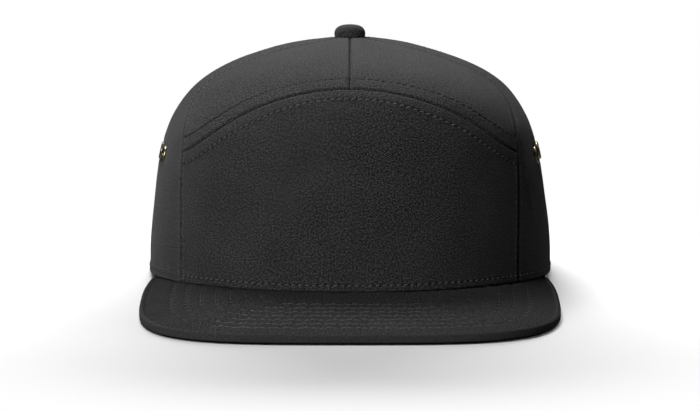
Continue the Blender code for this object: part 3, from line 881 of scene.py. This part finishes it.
def surface_rows(panel, side, slight):
    """The panel's plain or slight rows of stitches on its finished face, as (along, points, normals)."""
    rows = []
    for line, name in PANEL_ROWS[panel]:
        if (name in SLIGHT_ROWS) == slight:
            points, normals = crown_surface(line.run, line.turn, side)
            lift = sum(panel_relief(panel, side, line.points))
            lift += -SLIGHT_SINK if slight else HOLE_DEPTH * pierced(line.along)
            rows.append((line.along, points + normals * lift[:, None], normals))
    return rows


def row_frames(row, at):
    """The places at distances along a row, with the normal, the way ahead and the way sideways at each."""
    along, points, normals = row
    normal = unit(sampled(normals, along, at))
    forward = unit(sampled(points, along, at + 0.0002) - sampled(points, along, at - 0.0002))
    return sampled(points, along, at), normal, forward, unit(np.cross(normal, forward))


# A stitch's rings, as (place along its half length, lift in radii, share of the radius)
STITCH_STATIONS = ((-1.0, -0.9, 0.7), (-0.78, 0.0, 1.0), (0.0, 0.7, 1.0), (0.78, 0.0, 1.0), (1.0, -0.9, 0.7))
STITCH_SLANT = 0.80
THREAD_SIDES = 6
PIT_SIDES = 8
PIT_LIFT = 0.00018
PIT_DEPTH = 0.00005


def stitches(name, rows, length=STITCH_LENGTH, radius=THREAD_RADIUS):
    """Short lengths of thread along rows on a surface, each diving into the cloth at its ends."""
    copies = []
    for row in rows:
        first = (math.ceil(row[0][0] / STITCH_PITCH) + 0.5) * STITCH_PITCH
        middles = np.arange(first, row[0][-1] - length / 2, STITCH_PITCH)
        rings = []
        for place, lift, size in STITCH_STATIONS:
            centre, normal, _, sideways = row_frames(row, middles + place * length / 2)
            centre = centre + radius * (lift * normal + STITCH_SLANT * place * sideways)
            rings += [centre + size * radius * (c * normal + s * sideways) for c, s in circle(THREAD_SIDES)]
        copies.append(np.stack(rings, axis=1))
    end = np.arange(THREAD_SIDES)
    caps = (end[::-1], end + THREAD_SIDES * (len(STITCH_STATIONS) - 1))
    return repeated(name, np.concatenate(copies), ring_faces(len(STITCH_STATIONS), THREAD_SIDES), caps)


def painted_hole_shades(name, rows, half_length=0.00070, half_width=0.00040):
    """Small dark patches of painted shade, shaped as shallow pits, where a row's thread goes through the
    cloth.
    """
    copies = []
    for row in rows:
        centre, normal, forward, sideways = row_frames(row, np.arange(STITCH_PITCH, row[0][-1], STITCH_PITCH))
        high, forward, sideways = centre + PIT_LIFT * normal, half_length * forward, half_width * sideways
        rim = [high + c * forward + s * sideways for c, s in circle(PIT_SIDES)]
        copies.append(np.stack(rim + [centre - PIT_DEPTH * normal], axis=1))
    fan = [(k, (k + 1) % PIT_SIDES, PIT_SIDES) for k in range(PIT_SIDES)]
    return repeated(name, np.concatenate(copies), fan)


def drill(obj, point, normal, radius, depth):
    """Cuts a round hole through a piece."""
    bpy.ops.mesh.primitive_cylinder_add(vertices=40, radius=radius, depth=depth)
    cutter = bpy.context.object
    cutter.matrix_world = seat_matrix(point, normal)
    hole = obj.modifiers.new("hole", "BOOLEAN")
    hole.operation = "DIFFERENCE"
    hole.object = cutter
    bpy.context.view_layer.update()
    drilled = obj.evaluated_get(bpy.context.evaluated_depsgraph_get())
    obj.data = bpy.data.meshes.new_from_object(drilled)
    obj.modifiers.clear()
    bpy.data.objects.remove(cutter)


PANEL_GRIDS = dict(front_panel=front_grid, top_panel=top_grid, side_panel=side_grid, back_panel=back_grid)
BOTH_SIDES = (("_left", 1), ("_right", -1))

# Seams with tape inside, as (line, whether there is another on the right)
TAPED_SEAMS = (
    ("arch", True),
    ("middle_front", False),
    ("middle_back", False),
    ("front_seam", True),
    ("back_seam", True),
)


def make_crown():
    rows, yoke_rows, slight_rows = [], [], []
    for panel, grid in PANEL_GRIDS.items():
        run, turn = grid()
        for word, side in BOTH_SIDES if panel != "front_panel" else (("", 1),):
            node = panel + word
            outer, inner = crown_panel(panel, side, run, turn)
            if panel != "top_panel":
                outer, inner = rolled(outer, inner)
            cloth = wall(f"{node}_cloth", outer, inner, flip=side < 0)
            if panel == "side_panel":
                for _, point, normal in eyelet_seats(side):
                    drill(cloth, point, normal, EYELET_BARREL_RADIUS + EYELET_GAP / 2, 8 * CLOTH)
            dress(cloth, CROWN_TWILL, "crown_twill", node)
            (yoke_rows if panel == "top_panel" else rows).extend(surface_rows(panel, side, False))
            slight_rows += surface_rows(panel, side, True)
    dress(stitches("crown_stitches", rows), THREAD, "crown_twill")
    dress(stitches("yoke_stitches", yoke_rows), SHADED_YOKE_THREAD, "crown_twill")
    # Painted shade at the needle holes along the rows.
    dress(painted_hole_shades("crown_needle_holes", rows + yoke_rows), PAINTED_HOLE_SHADE, "crown_twill")
    small = painted_hole_shades("seam_needle_holes", slight_rows, half_length=0.00035, half_width=0.0002)
    dress(small, PAINTED_HOLE_SHADE, "crown_twill")
    dress(stitches("seam_stitches", slight_rows, radius=0.6 * THREAD_RADIUS), THREAD, "crown_twill")


def make_tapes():
    """Tape over each seam on the inside, sewn down along both edges."""
    rows = []
    for k, (name, mirrored) in enumerate(TAPED_SEAMS):
        steps = [LINES[name].stepped(distance) for distance in even(13, -TAPE_HALF_WIDTH, TAPE_HALF_WIDTH)]
        run, turn = np.array(steps)[:, :, ::4].transpose(1, 2, 0)
        run = np.clip(run, 0.012, 0.999)
        depth = CLOTH + SEAM_LAYER + TAPE_STEP * k
        for word, side in BOTH_SIDES if mirrored else BOTH_SIDES[:1]:
            outer, normals = crown_surface(run, turn, side, depth)
            inner = outer - normals * TAPE_THICKNESS
            tape = wall(f"seam_tape_{name}{word}", outer, inner, flip=side < 0)
            dress(tape, BAND_TWILL, "crown_twill")
            for column in TAPE_ROWS:
                rows.append((distances(inner[:, column]), inner[:, column], -normals[:, column]))
    dress(stitches("tape_stitches", rows), THREAD, "crown_twill")


# Peak
def peak_outline(share):
    """The peak's outer edge at shares from its rear end, at 0, to the middle of its front, at 1."""
    straight = PEAK_WIDEST_AHEAD - PEAK_END_AHEAD
    front = FRONT_REACH + PEAK_LENGTH - PEAK_WIDEST_AHEAD
    straight_share = straight / (straight + front + PEAK_HALF_WIDTH / 2)
    back = np.clip(1 - share / straight_share, 0.0, 1.0)
    angle = np.radians(90) * np.clip((share - straight_share) / (1 - straight_share), 0.0, 1.0)
    c, s = np.clip(np.cos(angle), 0.0, 1.0), np.clip(np.sin(angle), 0.0, 1.0)
    power = 2 / PEAK_CORNER_POWER
    before = share < straight_share
    x = np.where(before, PEAK_HALF_WIDTH - PEAK_END_TUCK * back**2, PEAK_HALF_WIDTH * c**power)
    y = np.where(before, -PEAK_WIDEST_AHEAD + straight * back, -PEAK_WIDEST_AHEAD - front * s**power)
    return np.stack((x, y + FOOTPRINT_SHIFT), axis=-1)


PEAK_SIDE = peak_outline(even(2000))
PEAK_ROWS = 7
PEAK_FIRST_ROW = 0.0130
PEAK_ROW_PITCH = 0.0063
PEAK_EDGE_ROUND = 0.0009
PEAK_HOLE_DEPTH = 0.00022
PEAK_HALF_COLUMNS = 215
PEAK_STITCH_LENGTH = 0.0026
PEAK_TUCK_GAP = 0.0001
PEAK_ABOVE_TABLE = 0.00004
PEAK_THREAD_RADIUS = 0.8 * THREAD_RADIUS
PEAK_HOLE_WIDTH = 0.0006
PEAK_QUILTING = 0.00008
PEAK_WAVES = ((0.035, 0.00025), (0.011, 0.00006))
# Distances in from the peak's front edge that its mesh has rows at, as (end of a band, spacing in it)
PEAK_BANDS = ((0.0030, 0.00026), (0.0120, 0.0013), (0.0520, 0.00056), (1.0, 0.0017))


def mirror_rows(points):
    """A half, from the wearer's left to the middle, with its mirrored other half."""
    flip = np.ones(points.shape[-1])
    flip[0] = -1.0
    return np.concatenate((points, (points * flip)[-2::-1]))


def peak_rails():
    """The peak's inner and outer edges, from the wearer's left end round to the right end."""
    end_turn = find(lambda t: FOOTPRINT_SHIFT - PEAK_END_AHEAD - outer_points(0.0, t)[..., 1], 0.0, FRONT)
    turns = even(600, float(end_turn), FRONT)
    rim = outer_points(0.0, turns)
    inner, _ = crown_surface(0.0, turns, depth=CLOTH)
    inner[:, 2] = rim_height(FOOTPRINT_SHIFT - rim[:, 1]) - PEAK_TUCK_GAP
    height = np.minimum(PEAK_THICKNESS, rim_height(FOOTPRINT_SHIFT - PEAK_SIDE[:, 1]) - PEAK_GAP)
    outer = np.column_stack((PEAK_SIDE, height))
    return [mirror_rows(evened(edge, PEAK_HALF_COLUMNS)) for edge in (inner, outer)]


def peak_stitch_lines():
    """The peak's rows of stitches from above, at even distances from its edge, up to the crown."""
    outline = evened(mirror_rows(PEAK_SIDE), 1200)
    tangents = unit(np.gradient(outline, axis=0))
    inward = np.stack((-tangents[:, 1], tangents[:, 0]), axis=1)
    inward *= np.sign((inward * (np.array((0.0, -0.05)) - outline)).sum(1, keepdims=True))
    centre = np.array((0.0, FOOTPRINT_SHIFT))
    rim = outer_points(0.0, even(1440, -180.0, 180.0)[:-1])[:, :2] - centre
    rim = rim[np.argsort(np.arctan2(rim[:, 1], rim[:, 0]))]
    lines = []
    for k in range(PEAK_ROWS):
        inset = PEAK_FIRST_ROW + k * PEAK_ROW_PITCH
        line = outline + inward * inset
        far, _ = nearest(line, outline)
        line = evened(line[far > inset - 0.0004], 700)
        reach = 4 + 5 * k
        for _ in range(3):
            sums = np.cumsum(np.pad(line, ((reach + 1, reach), (0, 0)), mode="edge"), axis=0)
            line = (sums[2 * reach + 1:] - sums[:-2 * reach - 1]) / (2 * reach + 1)
        away = line - centre
        rim_at = np.interp(np.arctan2(away[:, 1], away[:, 0]), np.arctan2(rim[:, 1], rim[:, 0]), norms(rim))
        line = line[norms(away) > rim_at + 0.0002]
        lines.append(evened(line, max(int(distances(line)[-1] / Line.SPACING), 20)))
    return lines


def peak_relief(points, lines, outline, under):
    """Rows of stitches quilt the cloth to the board, and the cloth folds over a ridge at the edge."""
    relief = np.zeros(points.shape[:-1])
    quilted = np.zeros(points.shape[:-1])
    for k, line in enumerate(lines):
        off, along = nearest(points[..., :2], line)
        pull = 1 + 0.7 * np.sin(along * math.tau / 0.0071 + 1.3 * k + 1.5 * np.sin(along * math.tau / 0.037))
        relief += pull * ridge(off, *PEAK_ROW_GROOVE)
        relief -= PEAK_HOLE_DEPTH * pierced(along) * bell(off, PEAK_HOLE_WIDTH)
        quilted = np.maximum(quilted, 1 - smooth(off / PEAK_ROW_PITCH))
    relief += PEAK_QUILTING * quilted
    if not under:
        edge, _ = nearest(points[..., :2], outline)
        relief += ridge(edge, *PEAK_EDGE_RIDGE) + ridge(edge, *PEAK_RIDGE_FOOT)
    return relief


def peak_shares(length):
    """Shares of the way from the crown to the peak's edge that its mesh has rows at."""
    inward = [PEAK_EDGE_ROUND]
    while inward[-1] < length:
        spacing = next(step for end, step in PEAK_BANDS if inward[-1] < end)
        inward.append(inward[-1] + spacing)
    return 1 - np.array(inward[:-1] + [length])[::-1] / length


def make_peak():
    inner_rail, outer_rail = peak_rails()
    outline = evened(mirror_rows(PEAK_SIDE), 1600)
    lines = peak_stitch_lines()
    shares = peak_shares(float(norms(inner_rail - outer_rail).max()))
    plain = mix(inner_rail[:, None], outer_rail[:, None], shares[:, None])
    top, bottom = plain.copy(), plain.copy()
    top[..., 2] += peak_relief(plain, lines, outline, False) + cloth_noise(plain, PEAK_WAVES)
    sunk = 0.8 * peak_relief(plain, lines, outline, True)
    bottom[..., 2] = np.maximum(np.maximum(plain[..., 2] - PEAK_THICKNESS, 0.0) - sunk, PEAK_ABOVE_TABLE)
    outward = unit((outer_rail - inner_rail) * np.array((1.0, 1.0, 0.0)))[:, None]
    angles = np.radians(even(6, 15.0, 90.0))[:, None]
    half = (top[:, -1:, 2:] - bottom[:, -1:, 2:]) / 2 - PEAK_ABOVE_TABLE / 2
    drop = np.minimum(half, PEAK_EDGE_ROUND) * (1 - np.cos(angles)) * (0.0, 0.0, 1.0)
    reach = outward * PEAK_EDGE_ROUND * np.sin(angles)
    outer = np.concatenate((top, top[:, -1:] + reach - drop), axis=1)
    inner = np.concatenate((bottom, bottom[:, -1:] + reach + drop), axis=1)
    cloth = wall("peak_cloth", outer, inner, flip=True, fold_after=PEAK_THICKNESS / 2 - PEAK_EDGE_ROUND)
    dress(cloth, PEAK_TWILL, "peak_twill", "peak")
    make_peak_stitches(plain, lines, outline)


def nearby_heights(places, points):
    """Heights at flat places, from the four nearest of many points."""
    heights = np.empty(len(places))
    for start in range(0, len(places), 300):
        part = places[start:start + 300]
        squares = (points[:, :2] ** 2).sum(1)[None, :] - 2 * part @ points[:, :2].T
        squares += (part**2).sum(1)[:, None]
        close = np.argpartition(squares, 4, axis=1)[:, :4]
        weights = 1 / (np.take_along_axis(squares, close, 1) + 1e-9)
        heights[start:start + 300] = (points[close, 2] * weights).sum(1) / weights.sum(1)
    return heights


def make_peak_stitches(plain, lines, outline):
    """Stitches on both faces, with those down the peak's sides apart from those across it."""
    across_rows, side_rows, under_rows = [], [], []
    for line in lines:
        along = distances(line)
        point = np.column_stack((line, nearby_heights(line, plain.reshape(-1, 3))))
        raised = point.copy()
        raised[:, 2] += peak_relief(point, lines, outline, False) + cloth_noise(point, PEAK_WAVES)
        raised[:, 2] += PEAK_HOLE_DEPTH * pierced(along)
        up = np.zeros_like(point) + (0.0, 0.0, 1.0)
        turned = np.flatnonzero(abs(unit(np.gradient(line, axis=0))[:, 1]) < 0.5)
        first, last = turned[0], turned[-1] + 1
        across_rows.append((along[first:last], raised[first:last], up[first:last]))
        for part in (slice(0, first), slice(last, None)):
            if along[part].size > 20:
                side_rows.append((along[part], raised[part], up[part]))
        point[:, 2] = np.maximum(point[:, 2] - PEAK_THICKNESS, 0.0) + 0.00008
        clear = point[:, 2] > 0.0006
        if clear.sum() > 20:
            under_rows.append((along[clear], point[clear], -up[clear]))
    for name, rows, length, thread in (
        ("peak_stitches", across_rows, PEAK_STITCH_LENGTH, PEAK_THREAD),
        ("peak_side_stitches", side_rows, STITCH_LENGTH, SHADED_PEAK_SIDE_THREAD),
        ("peak_under_stitches", under_rows, STITCH_LENGTH, PEAK_THREAD),
    ):
        dress(stitches(name, rows, length, PEAK_THREAD_RADIUS), thread, "peak_twill")


# Button
def button_axis():
    front, back = outer_points(0.976, FRONT), outer_points(0.976, BACK)
    return unit(np.cross(np.array((1.0, 0.0, 0.0)), back - front))


def crown_below(matrix, radius, angles):
    """How far below a seat the crown lies, at a radius round it."""
    heights = []
    inverse = matrix.inverted()
    for turn in np.degrees(angles):
        local = np.array([inverse @ Vector(p) for p in outer_points(even(60, 0.93, 0.999), turn)])
        away = np.hypot(local[:, 0], local[:, 1])
        heights.append(np.interp(radius, away[::-1], local[::-1, 2]))
    return np.array(heights)


# The button's cloth from its top to its tucked edge, as (share of radius, share of height)
BUTTON_PROFILE = (
    (0.00, 1.000), (0.12, 0.997), (0.25, 0.985), (0.38, 0.962), (0.50, 0.930), (0.61, 0.886), (0.71, 0.830),
    (0.80, 0.755), (0.87, 0.665), (0.93, 0.560), (0.975, 0.440), (1.00, 0.310), (1.00, 0.180), (0.975, 0.070),
    (0.93, 0.010), (0.86, -0.020),
)


def make_button():
    """A metal button covered with the crown's cloth, which gathers a little round its edge."""
    matrix = seat_matrix((0.0, FOOTPRINT_SHIFT, BUTTON_HEIGHT), button_axis())
    sides = 72
    angles = math.tau * np.arange(sides) / sides
    drop = crown_below(matrix, 0.93 * BUTTON_RADIUS, angles)
    top = BUTTON_DOME + 0.0003
    vertices, coordinates = [], []
    for share_out, share_up in BUTTON_PROFILE[1:]:
        edge = smooth((share_out - 0.7) / 0.3)
        gathers = 1 + 0.010 * edge * np.cos(13 * angles + 2.0 * np.sin(3 * angles))
        radius = BUTTON_RADIUS * share_out * gathers
        floor = drop + 0.00012 if share_up < 0.3 else 0.0
        height = mix(top * share_up, floor + top * max(share_up, 0.0), smooth((0.45 - share_up) / 0.45))
        local = np.column_stack((radius[:, None] * circle(sides), height + 0.0 * angles))
        vertices += [matrix @ Vector(p) for p in local]
        coordinates.append(BUTTON_RADIUS * (share_out + 0.6 * (1 - share_up)) * circle(sides))
    vertices.append(matrix @ Vector((0.0, 0.0, top)))
    coordinates.append(np.zeros((1, 2)))
    rings = len(BUTTON_PROFILE) - 1
    faces = ring_faces(rings, sides)[:, ::-1].tolist()
    faces += [(k, (k + 1) % sides, rings * sides) for k in range(sides)]
    faces.append(range((rings - 1) * sides, rings * sides)[::-1])
    cloth = add_mesh("button_cloth", vertices, faces, np.concatenate(coordinates), sharp=60)
    dress(cloth, CROWN_TWILL, "crown_twill", "top_button")


# Eyelets
def make_eyelets():
    """Rolled eyelets: a round lip outside, the barrel, and a washer spread flat inside."""
    outside = EYELET_GAP - 0.00045
    inside = -CLOTH - 0.0006
    middle = mix(EYELET_HOLE_RADIUS, EYELET_FLANGE_RADIUS, 0.5)
    half = (EYELET_FLANGE_RADIUS - EYELET_HOLE_RADIUS) / 2
    profile = [
        (middle + half * math.cos(a), outside + EYELET_FLANGE_HEIGHT * max(math.sin(a), 0.0) ** 0.8)
        for a in np.radians(even(15, 0.0, 180.0))
    ]
    profile += [
        (EYELET_HOLE_RADIUS, inside - 0.0004),
        (EYELET_HOLE_RADIUS + 0.0004, inside - 0.0006),
        (EYELET_FLANGE_RADIUS - 0.0002, inside - 0.0003),
        (EYELET_FLANGE_RADIUS, inside - 0.0001),
        (EYELET_FLANGE_RADIUS - 0.0002, inside),
        (EYELET_BARREL_RADIUS, inside),
        (EYELET_BARREL_RADIUS, outside),
    ]
    sides = 48
    faces = ring_faces(len(profile), sides, closed=True)
    for word, side in BOTH_SIDES:
        for place, point, normal in eyelet_seats(side):
            node = f"eyelet{word}_{place}"
            vertices = seated(seat_matrix(point, normal), sides, profile)
            dress(add_mesh(f"{node}_metal", vertices, faces, sharp=50), METAL, "eyelet_metal", node)


# Inside band and strap
def make_sweatband():
    reach = float(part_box("sweatband")[1].y) - 0.0006
    end_turn = find(lambda t: crown_surface(0.05, t, depth=CLOTH)[0][..., 1] - reach, 0.0, 88.0)
    turns = even(520, -180.0 - float(end_turn), float(end_turn))[:, None]
    rows = even(34)[None, :]
    rim = outer_points(0.0, turns)[..., 2]
    start, top = run_up_to(rim + 0.0010, turns), run_up_to(rim + SWEATBAND_HEIGHT, turns)
    points, normals = crown_surface(mix(start, top, rows), turns)
    height = rows * SWEATBAND_HEIGHT
    wave = SWEATBAND_WAVE * ripple(distances(points[:, 10])[:, None] * 0.45 + 0.2 * height)
    inward = SWEATBAND_THICKNESS + wave * smooth(height / 0.01) + ridge(height, *SWEATBAND_GROOVE)
    outer = points - normals * (CLOTH + SWEATBAND_GAP)
    outer, inner = rolled(outer, outer - normals * inward[..., None])
    dress(wall("sweatband_cloth", outer, inner), BAND_TWILL, "sweatband_twill", "sweatband")
    row = int(np.abs(height[0] - RIM_ROW).argmin())
    line = inner[:, row + HEM_ROWS] - normals[:, row] * 0.0001
    rows = [(distances(line), line, -normals[:, row])]
    dress(stitches("sweatband_stitches", rows), THREAD, "sweatband_twill")


SNAP_COUNT = 7
SNAP_PITCH = 0.0092
SNAP_HOLE_RADIUS = 0.0021
SNAP_PEG_RADIUS = 0.0018
# A peg from its foot to its top, as (share of radius, height)
SNAP_PEG_PROFILE = ((1.0, -0.0002), (1.0, 0.0009), (0.93, 0.00125), (0.7, 0.00145), (0.35, 0.00155))
STRAP_OVERLAP_HALF = 0.020
STRAP_MIDDLE = STRAP_ABOVE_RIM + STRAP_HEIGHT / 2


def strap_place(x):
    """The run and turn of points along the strap's middle, at x across the back."""
    run, turn = back_place(np.abs(x), 0.0 * x + STRAP_MIDDLE)
    return run, np.where(x < 0, 180.0 - turn, turn)


def strap_band(name, first_x, last_x, depth, thickness):
    """A strap between two places across the back, rounded at its edges."""
    xs = even(150, first_x, last_x)
    turn = strap_place(xs)[1][:, None]
    tips = np.minimum(xs - first_x, last_x - xs)
    tip = np.sqrt(np.clip(1 - (1 - np.clip(tips / 0.004, 0.0, 1.0)) ** 2, 0.02, 1.0))
    rows = even(15, -1.0, 1.0)[None, :]
    height = STRAP_MIDDLE + rows * (STRAP_HEIGHT / 2 - 0.0004) * mix(0.75, 1.0, tip)[:, None]
    run = run_up_to(height, turn)
    centre, normals = crown_surface(run, turn, depth=depth + thickness / 2)
    half = normals * thickness / 2 * (1 - 0.5 * rows**8)[..., None]
    return wall(name, centre + half, centre - half, flip=last_x < first_x, sharp=40)


def make_strap():
    """Two straps that press together: pegs on the inner one stand in holes of the outer one."""
    half = STRAP_THICKNESS / 2 - 0.00005
    depth = CLOTH + STRAP_CLEARANCE
    reach = float(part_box("snap_strap")[1].x) - 0.0006
    outer = strap_band("strap_outer", STRAP_OVERLAP_HALF + 0.004, -reach, depth, half)
    inner = strap_band("strap_inner", -STRAP_OVERLAP_HALF - 0.004, reach, depth + half + 0.0001, half)
    sides = 28
    profile = [(SNAP_PEG_RADIUS * share, height) for share, height in SNAP_PEG_PROFILE]
    end = np.arange(sides)
    faces = ring_faces(len(profile), sides).tolist() + [end[::-1], end + sides * (len(profile) - 1)]
    hole_xs = STRAP_OVERLAP_HALF - 0.002 - SNAP_PITCH * np.arange(SNAP_COUNT)
    for x in hole_xs:
        drill(outer, *crown_surface(*strap_place(x), depth=depth), SNAP_HOLE_RADIUS, 4 * half)
    peg_xs = hole_xs + 3 * SNAP_PITCH
    for k, x in enumerate(peg_xs[abs(peg_xs) < reach - 0.004]):
        seat = seat_matrix(*crown_surface(*strap_place(x), depth=depth + half))
        vertices = seated(seat, sides, profile)
        dress(add_mesh(f"strap_peg_{k + 1}", vertices, faces, sharp=40), PLASTIC, "strap_plastic")
    dress(outer, PLASTIC, "strap_plastic", "snap_strap")
    dress(inner, PLASTIC, "strap_plastic")


# Camera, light and floor
CAMERA_DISTANCE = 1.8
CAMERA_ELEVATION = 9.5
CAMERA_LENS = 206.7
CAMERA_TARGET = Vector((0.0, FOOTPRINT_SHIFT - 0.003, 0.0294))


def bearing(left, elevation):
    """The direction that is so many degrees to the camera's left and above level."""
    a, e = math.radians(left), math.radians(elevation)
    return Vector((-math.sin(a) * math.cos(e), -math.cos(a) * math.cos(e), math.sin(e)))


def add_aimed(name, data, target, offset):
    """A camera or light at an offset from the target that it is turned to."""
    obj = bpy.data.objects.new(name, data)
    obj.location = target + offset
    obj.rotation_euler = (-offset).to_track_quat("-Z", "Y").to_euler()
    bpy.context.scene.collection.objects.link(obj)
    return obj


def make_camera():
    data = bpy.data.cameras.new("camera")
    data.lens = CAMERA_LENS
    data.sensor_width = 36.0
    data.clip_end = 50.0
    away = CAMERA_DISTANCE * bearing(0.0, CAMERA_ELEVATION)
    bpy.context.scene.camera = add_aimed("camera", data, CAMERA_TARGET, away)


FLOOR_SEEN = 0.85
FLOOR_BOUNCE = 0.12
FLOOR_FADE = (0.155, 0.245)
FLOOR_MIDDLE = (0.0, -0.04, 0.0)
WORLD_LIGHT = 0.02
WORLD_SEEN = 1.1


def make_floor():
    """A pale floor with the cap's soft shadow, which runs out into plain white as a studio sweep does."""
    half = 15.0
    corners = [(-half, -half, 0.0), (half, -half, 0.0), (half, half, 0.0), (-half, half, 0.0)]
    floor = add_mesh("floor", corners, [(0, 1, 2, 3)])
    floor.location = (0.0, 0.0, -0.0002)
    n = Nodes(bpy.data.materials.new("floor"))
    seen = n.add("LightPath").outputs["Is Camera Ray"]
    away = n.add("VectorMath", {0: n.place(), 1: FLOOR_MIDDLE}, operation="DISTANCE").outputs["Value"]
    reach = dict(zip(("From Min", "From Max"), FLOOR_FADE))
    fade = n.add("MapRange", {"Value": away, **reach}, interpolation_type="SMOOTHSTEP").outputs["Result"]
    shade = n.math("MULTIPLY_ADD", seen, FLOOR_SEEN - FLOOR_BOUNCE, FLOOR_BOUNCE)
    near = n.add("BsdfDiffuse", {"Color": shade}).outputs["BSDF"]
    far = n.add("Emission", {"Strength": seen}).outputs["Emission"]
    both = n.add("MixShader", {"Fac": fade, 1: near, 2: far}).outputs["Shader"]
    n.feed(n.tree.nodes["Material Output"], {"Surface": both})
    floor.data.materials.append(n.owner)


def make_world():
    world = bpy.data.worlds.new("studio")
    bpy.context.scene.world = world
    n = Nodes(world)
    seen = n.add("LightPath").outputs["Is Camera Ray"]
    strength = n.math("MULTIPLY_ADD", seen, WORLD_SEEN - WORLD_LIGHT, WORLD_LIGHT)
    n.feed(n.tree.nodes["Background"], {"Strength": strength, "Color": grey(1.0)})


# Studio lights, as (degrees to the camera's left of it, elevation, width, height, watts)
LIGHTS = {
    "key": (30.0, 26.0, 0.35, 0.35, 10.8),
    "key_left": (50.0, 20.0, 0.40, 0.40, 3.4),
    "back": (158.0, 62.0, 0.80, 0.50, 19.0),
    "right": (-110.0, 35.0, 0.50, 0.50, 1.6),
    "floor_light": (180.0, 22.0, 1.40, 0.50, 52.0),
}
LIGHT_DISTANCE = 1.5
LIGHTS_MIDDLE = Vector((0.0, 0.02, 0.05))


def make_lights():
    for name, (left, elevation, width, height, watts) in LIGHTS.items():
        data = bpy.data.lights.new(name, "AREA")
        data.shape = "RECTANGLE"
        data.size, data.size_y = width, height
        data.energy = watts
        add_aimed(name, data, LIGHTS_MIDDLE, LIGHT_DISTANCE * bearing(left, elevation))


def aim_lights():
    """The key lights are the cap's alone, and a low light behind the cap is the floor's alone."""
    meshes = [obj for obj in bpy.data.objects if obj.type == "MESH"]
    for name in ("key", "key_left", "floor_light"):
        group = bpy.data.collections.new(f"lit_by_{name}")
        for obj in meshes:
            if (obj.name == "floor") == (name == "floor_light"):
                group.objects.link(obj)
        bpy.data.objects[name].light_linking.receiver_collection = group


make_camera()
make_world()
make_lights()
make_floor()
bpy.context.scene.view_settings.view_transform = "Standard"
make_crown()
make_tapes()
make_peak()
make_button()
make_eyelets()
make_sweatband()
make_strap()
aim_lights()
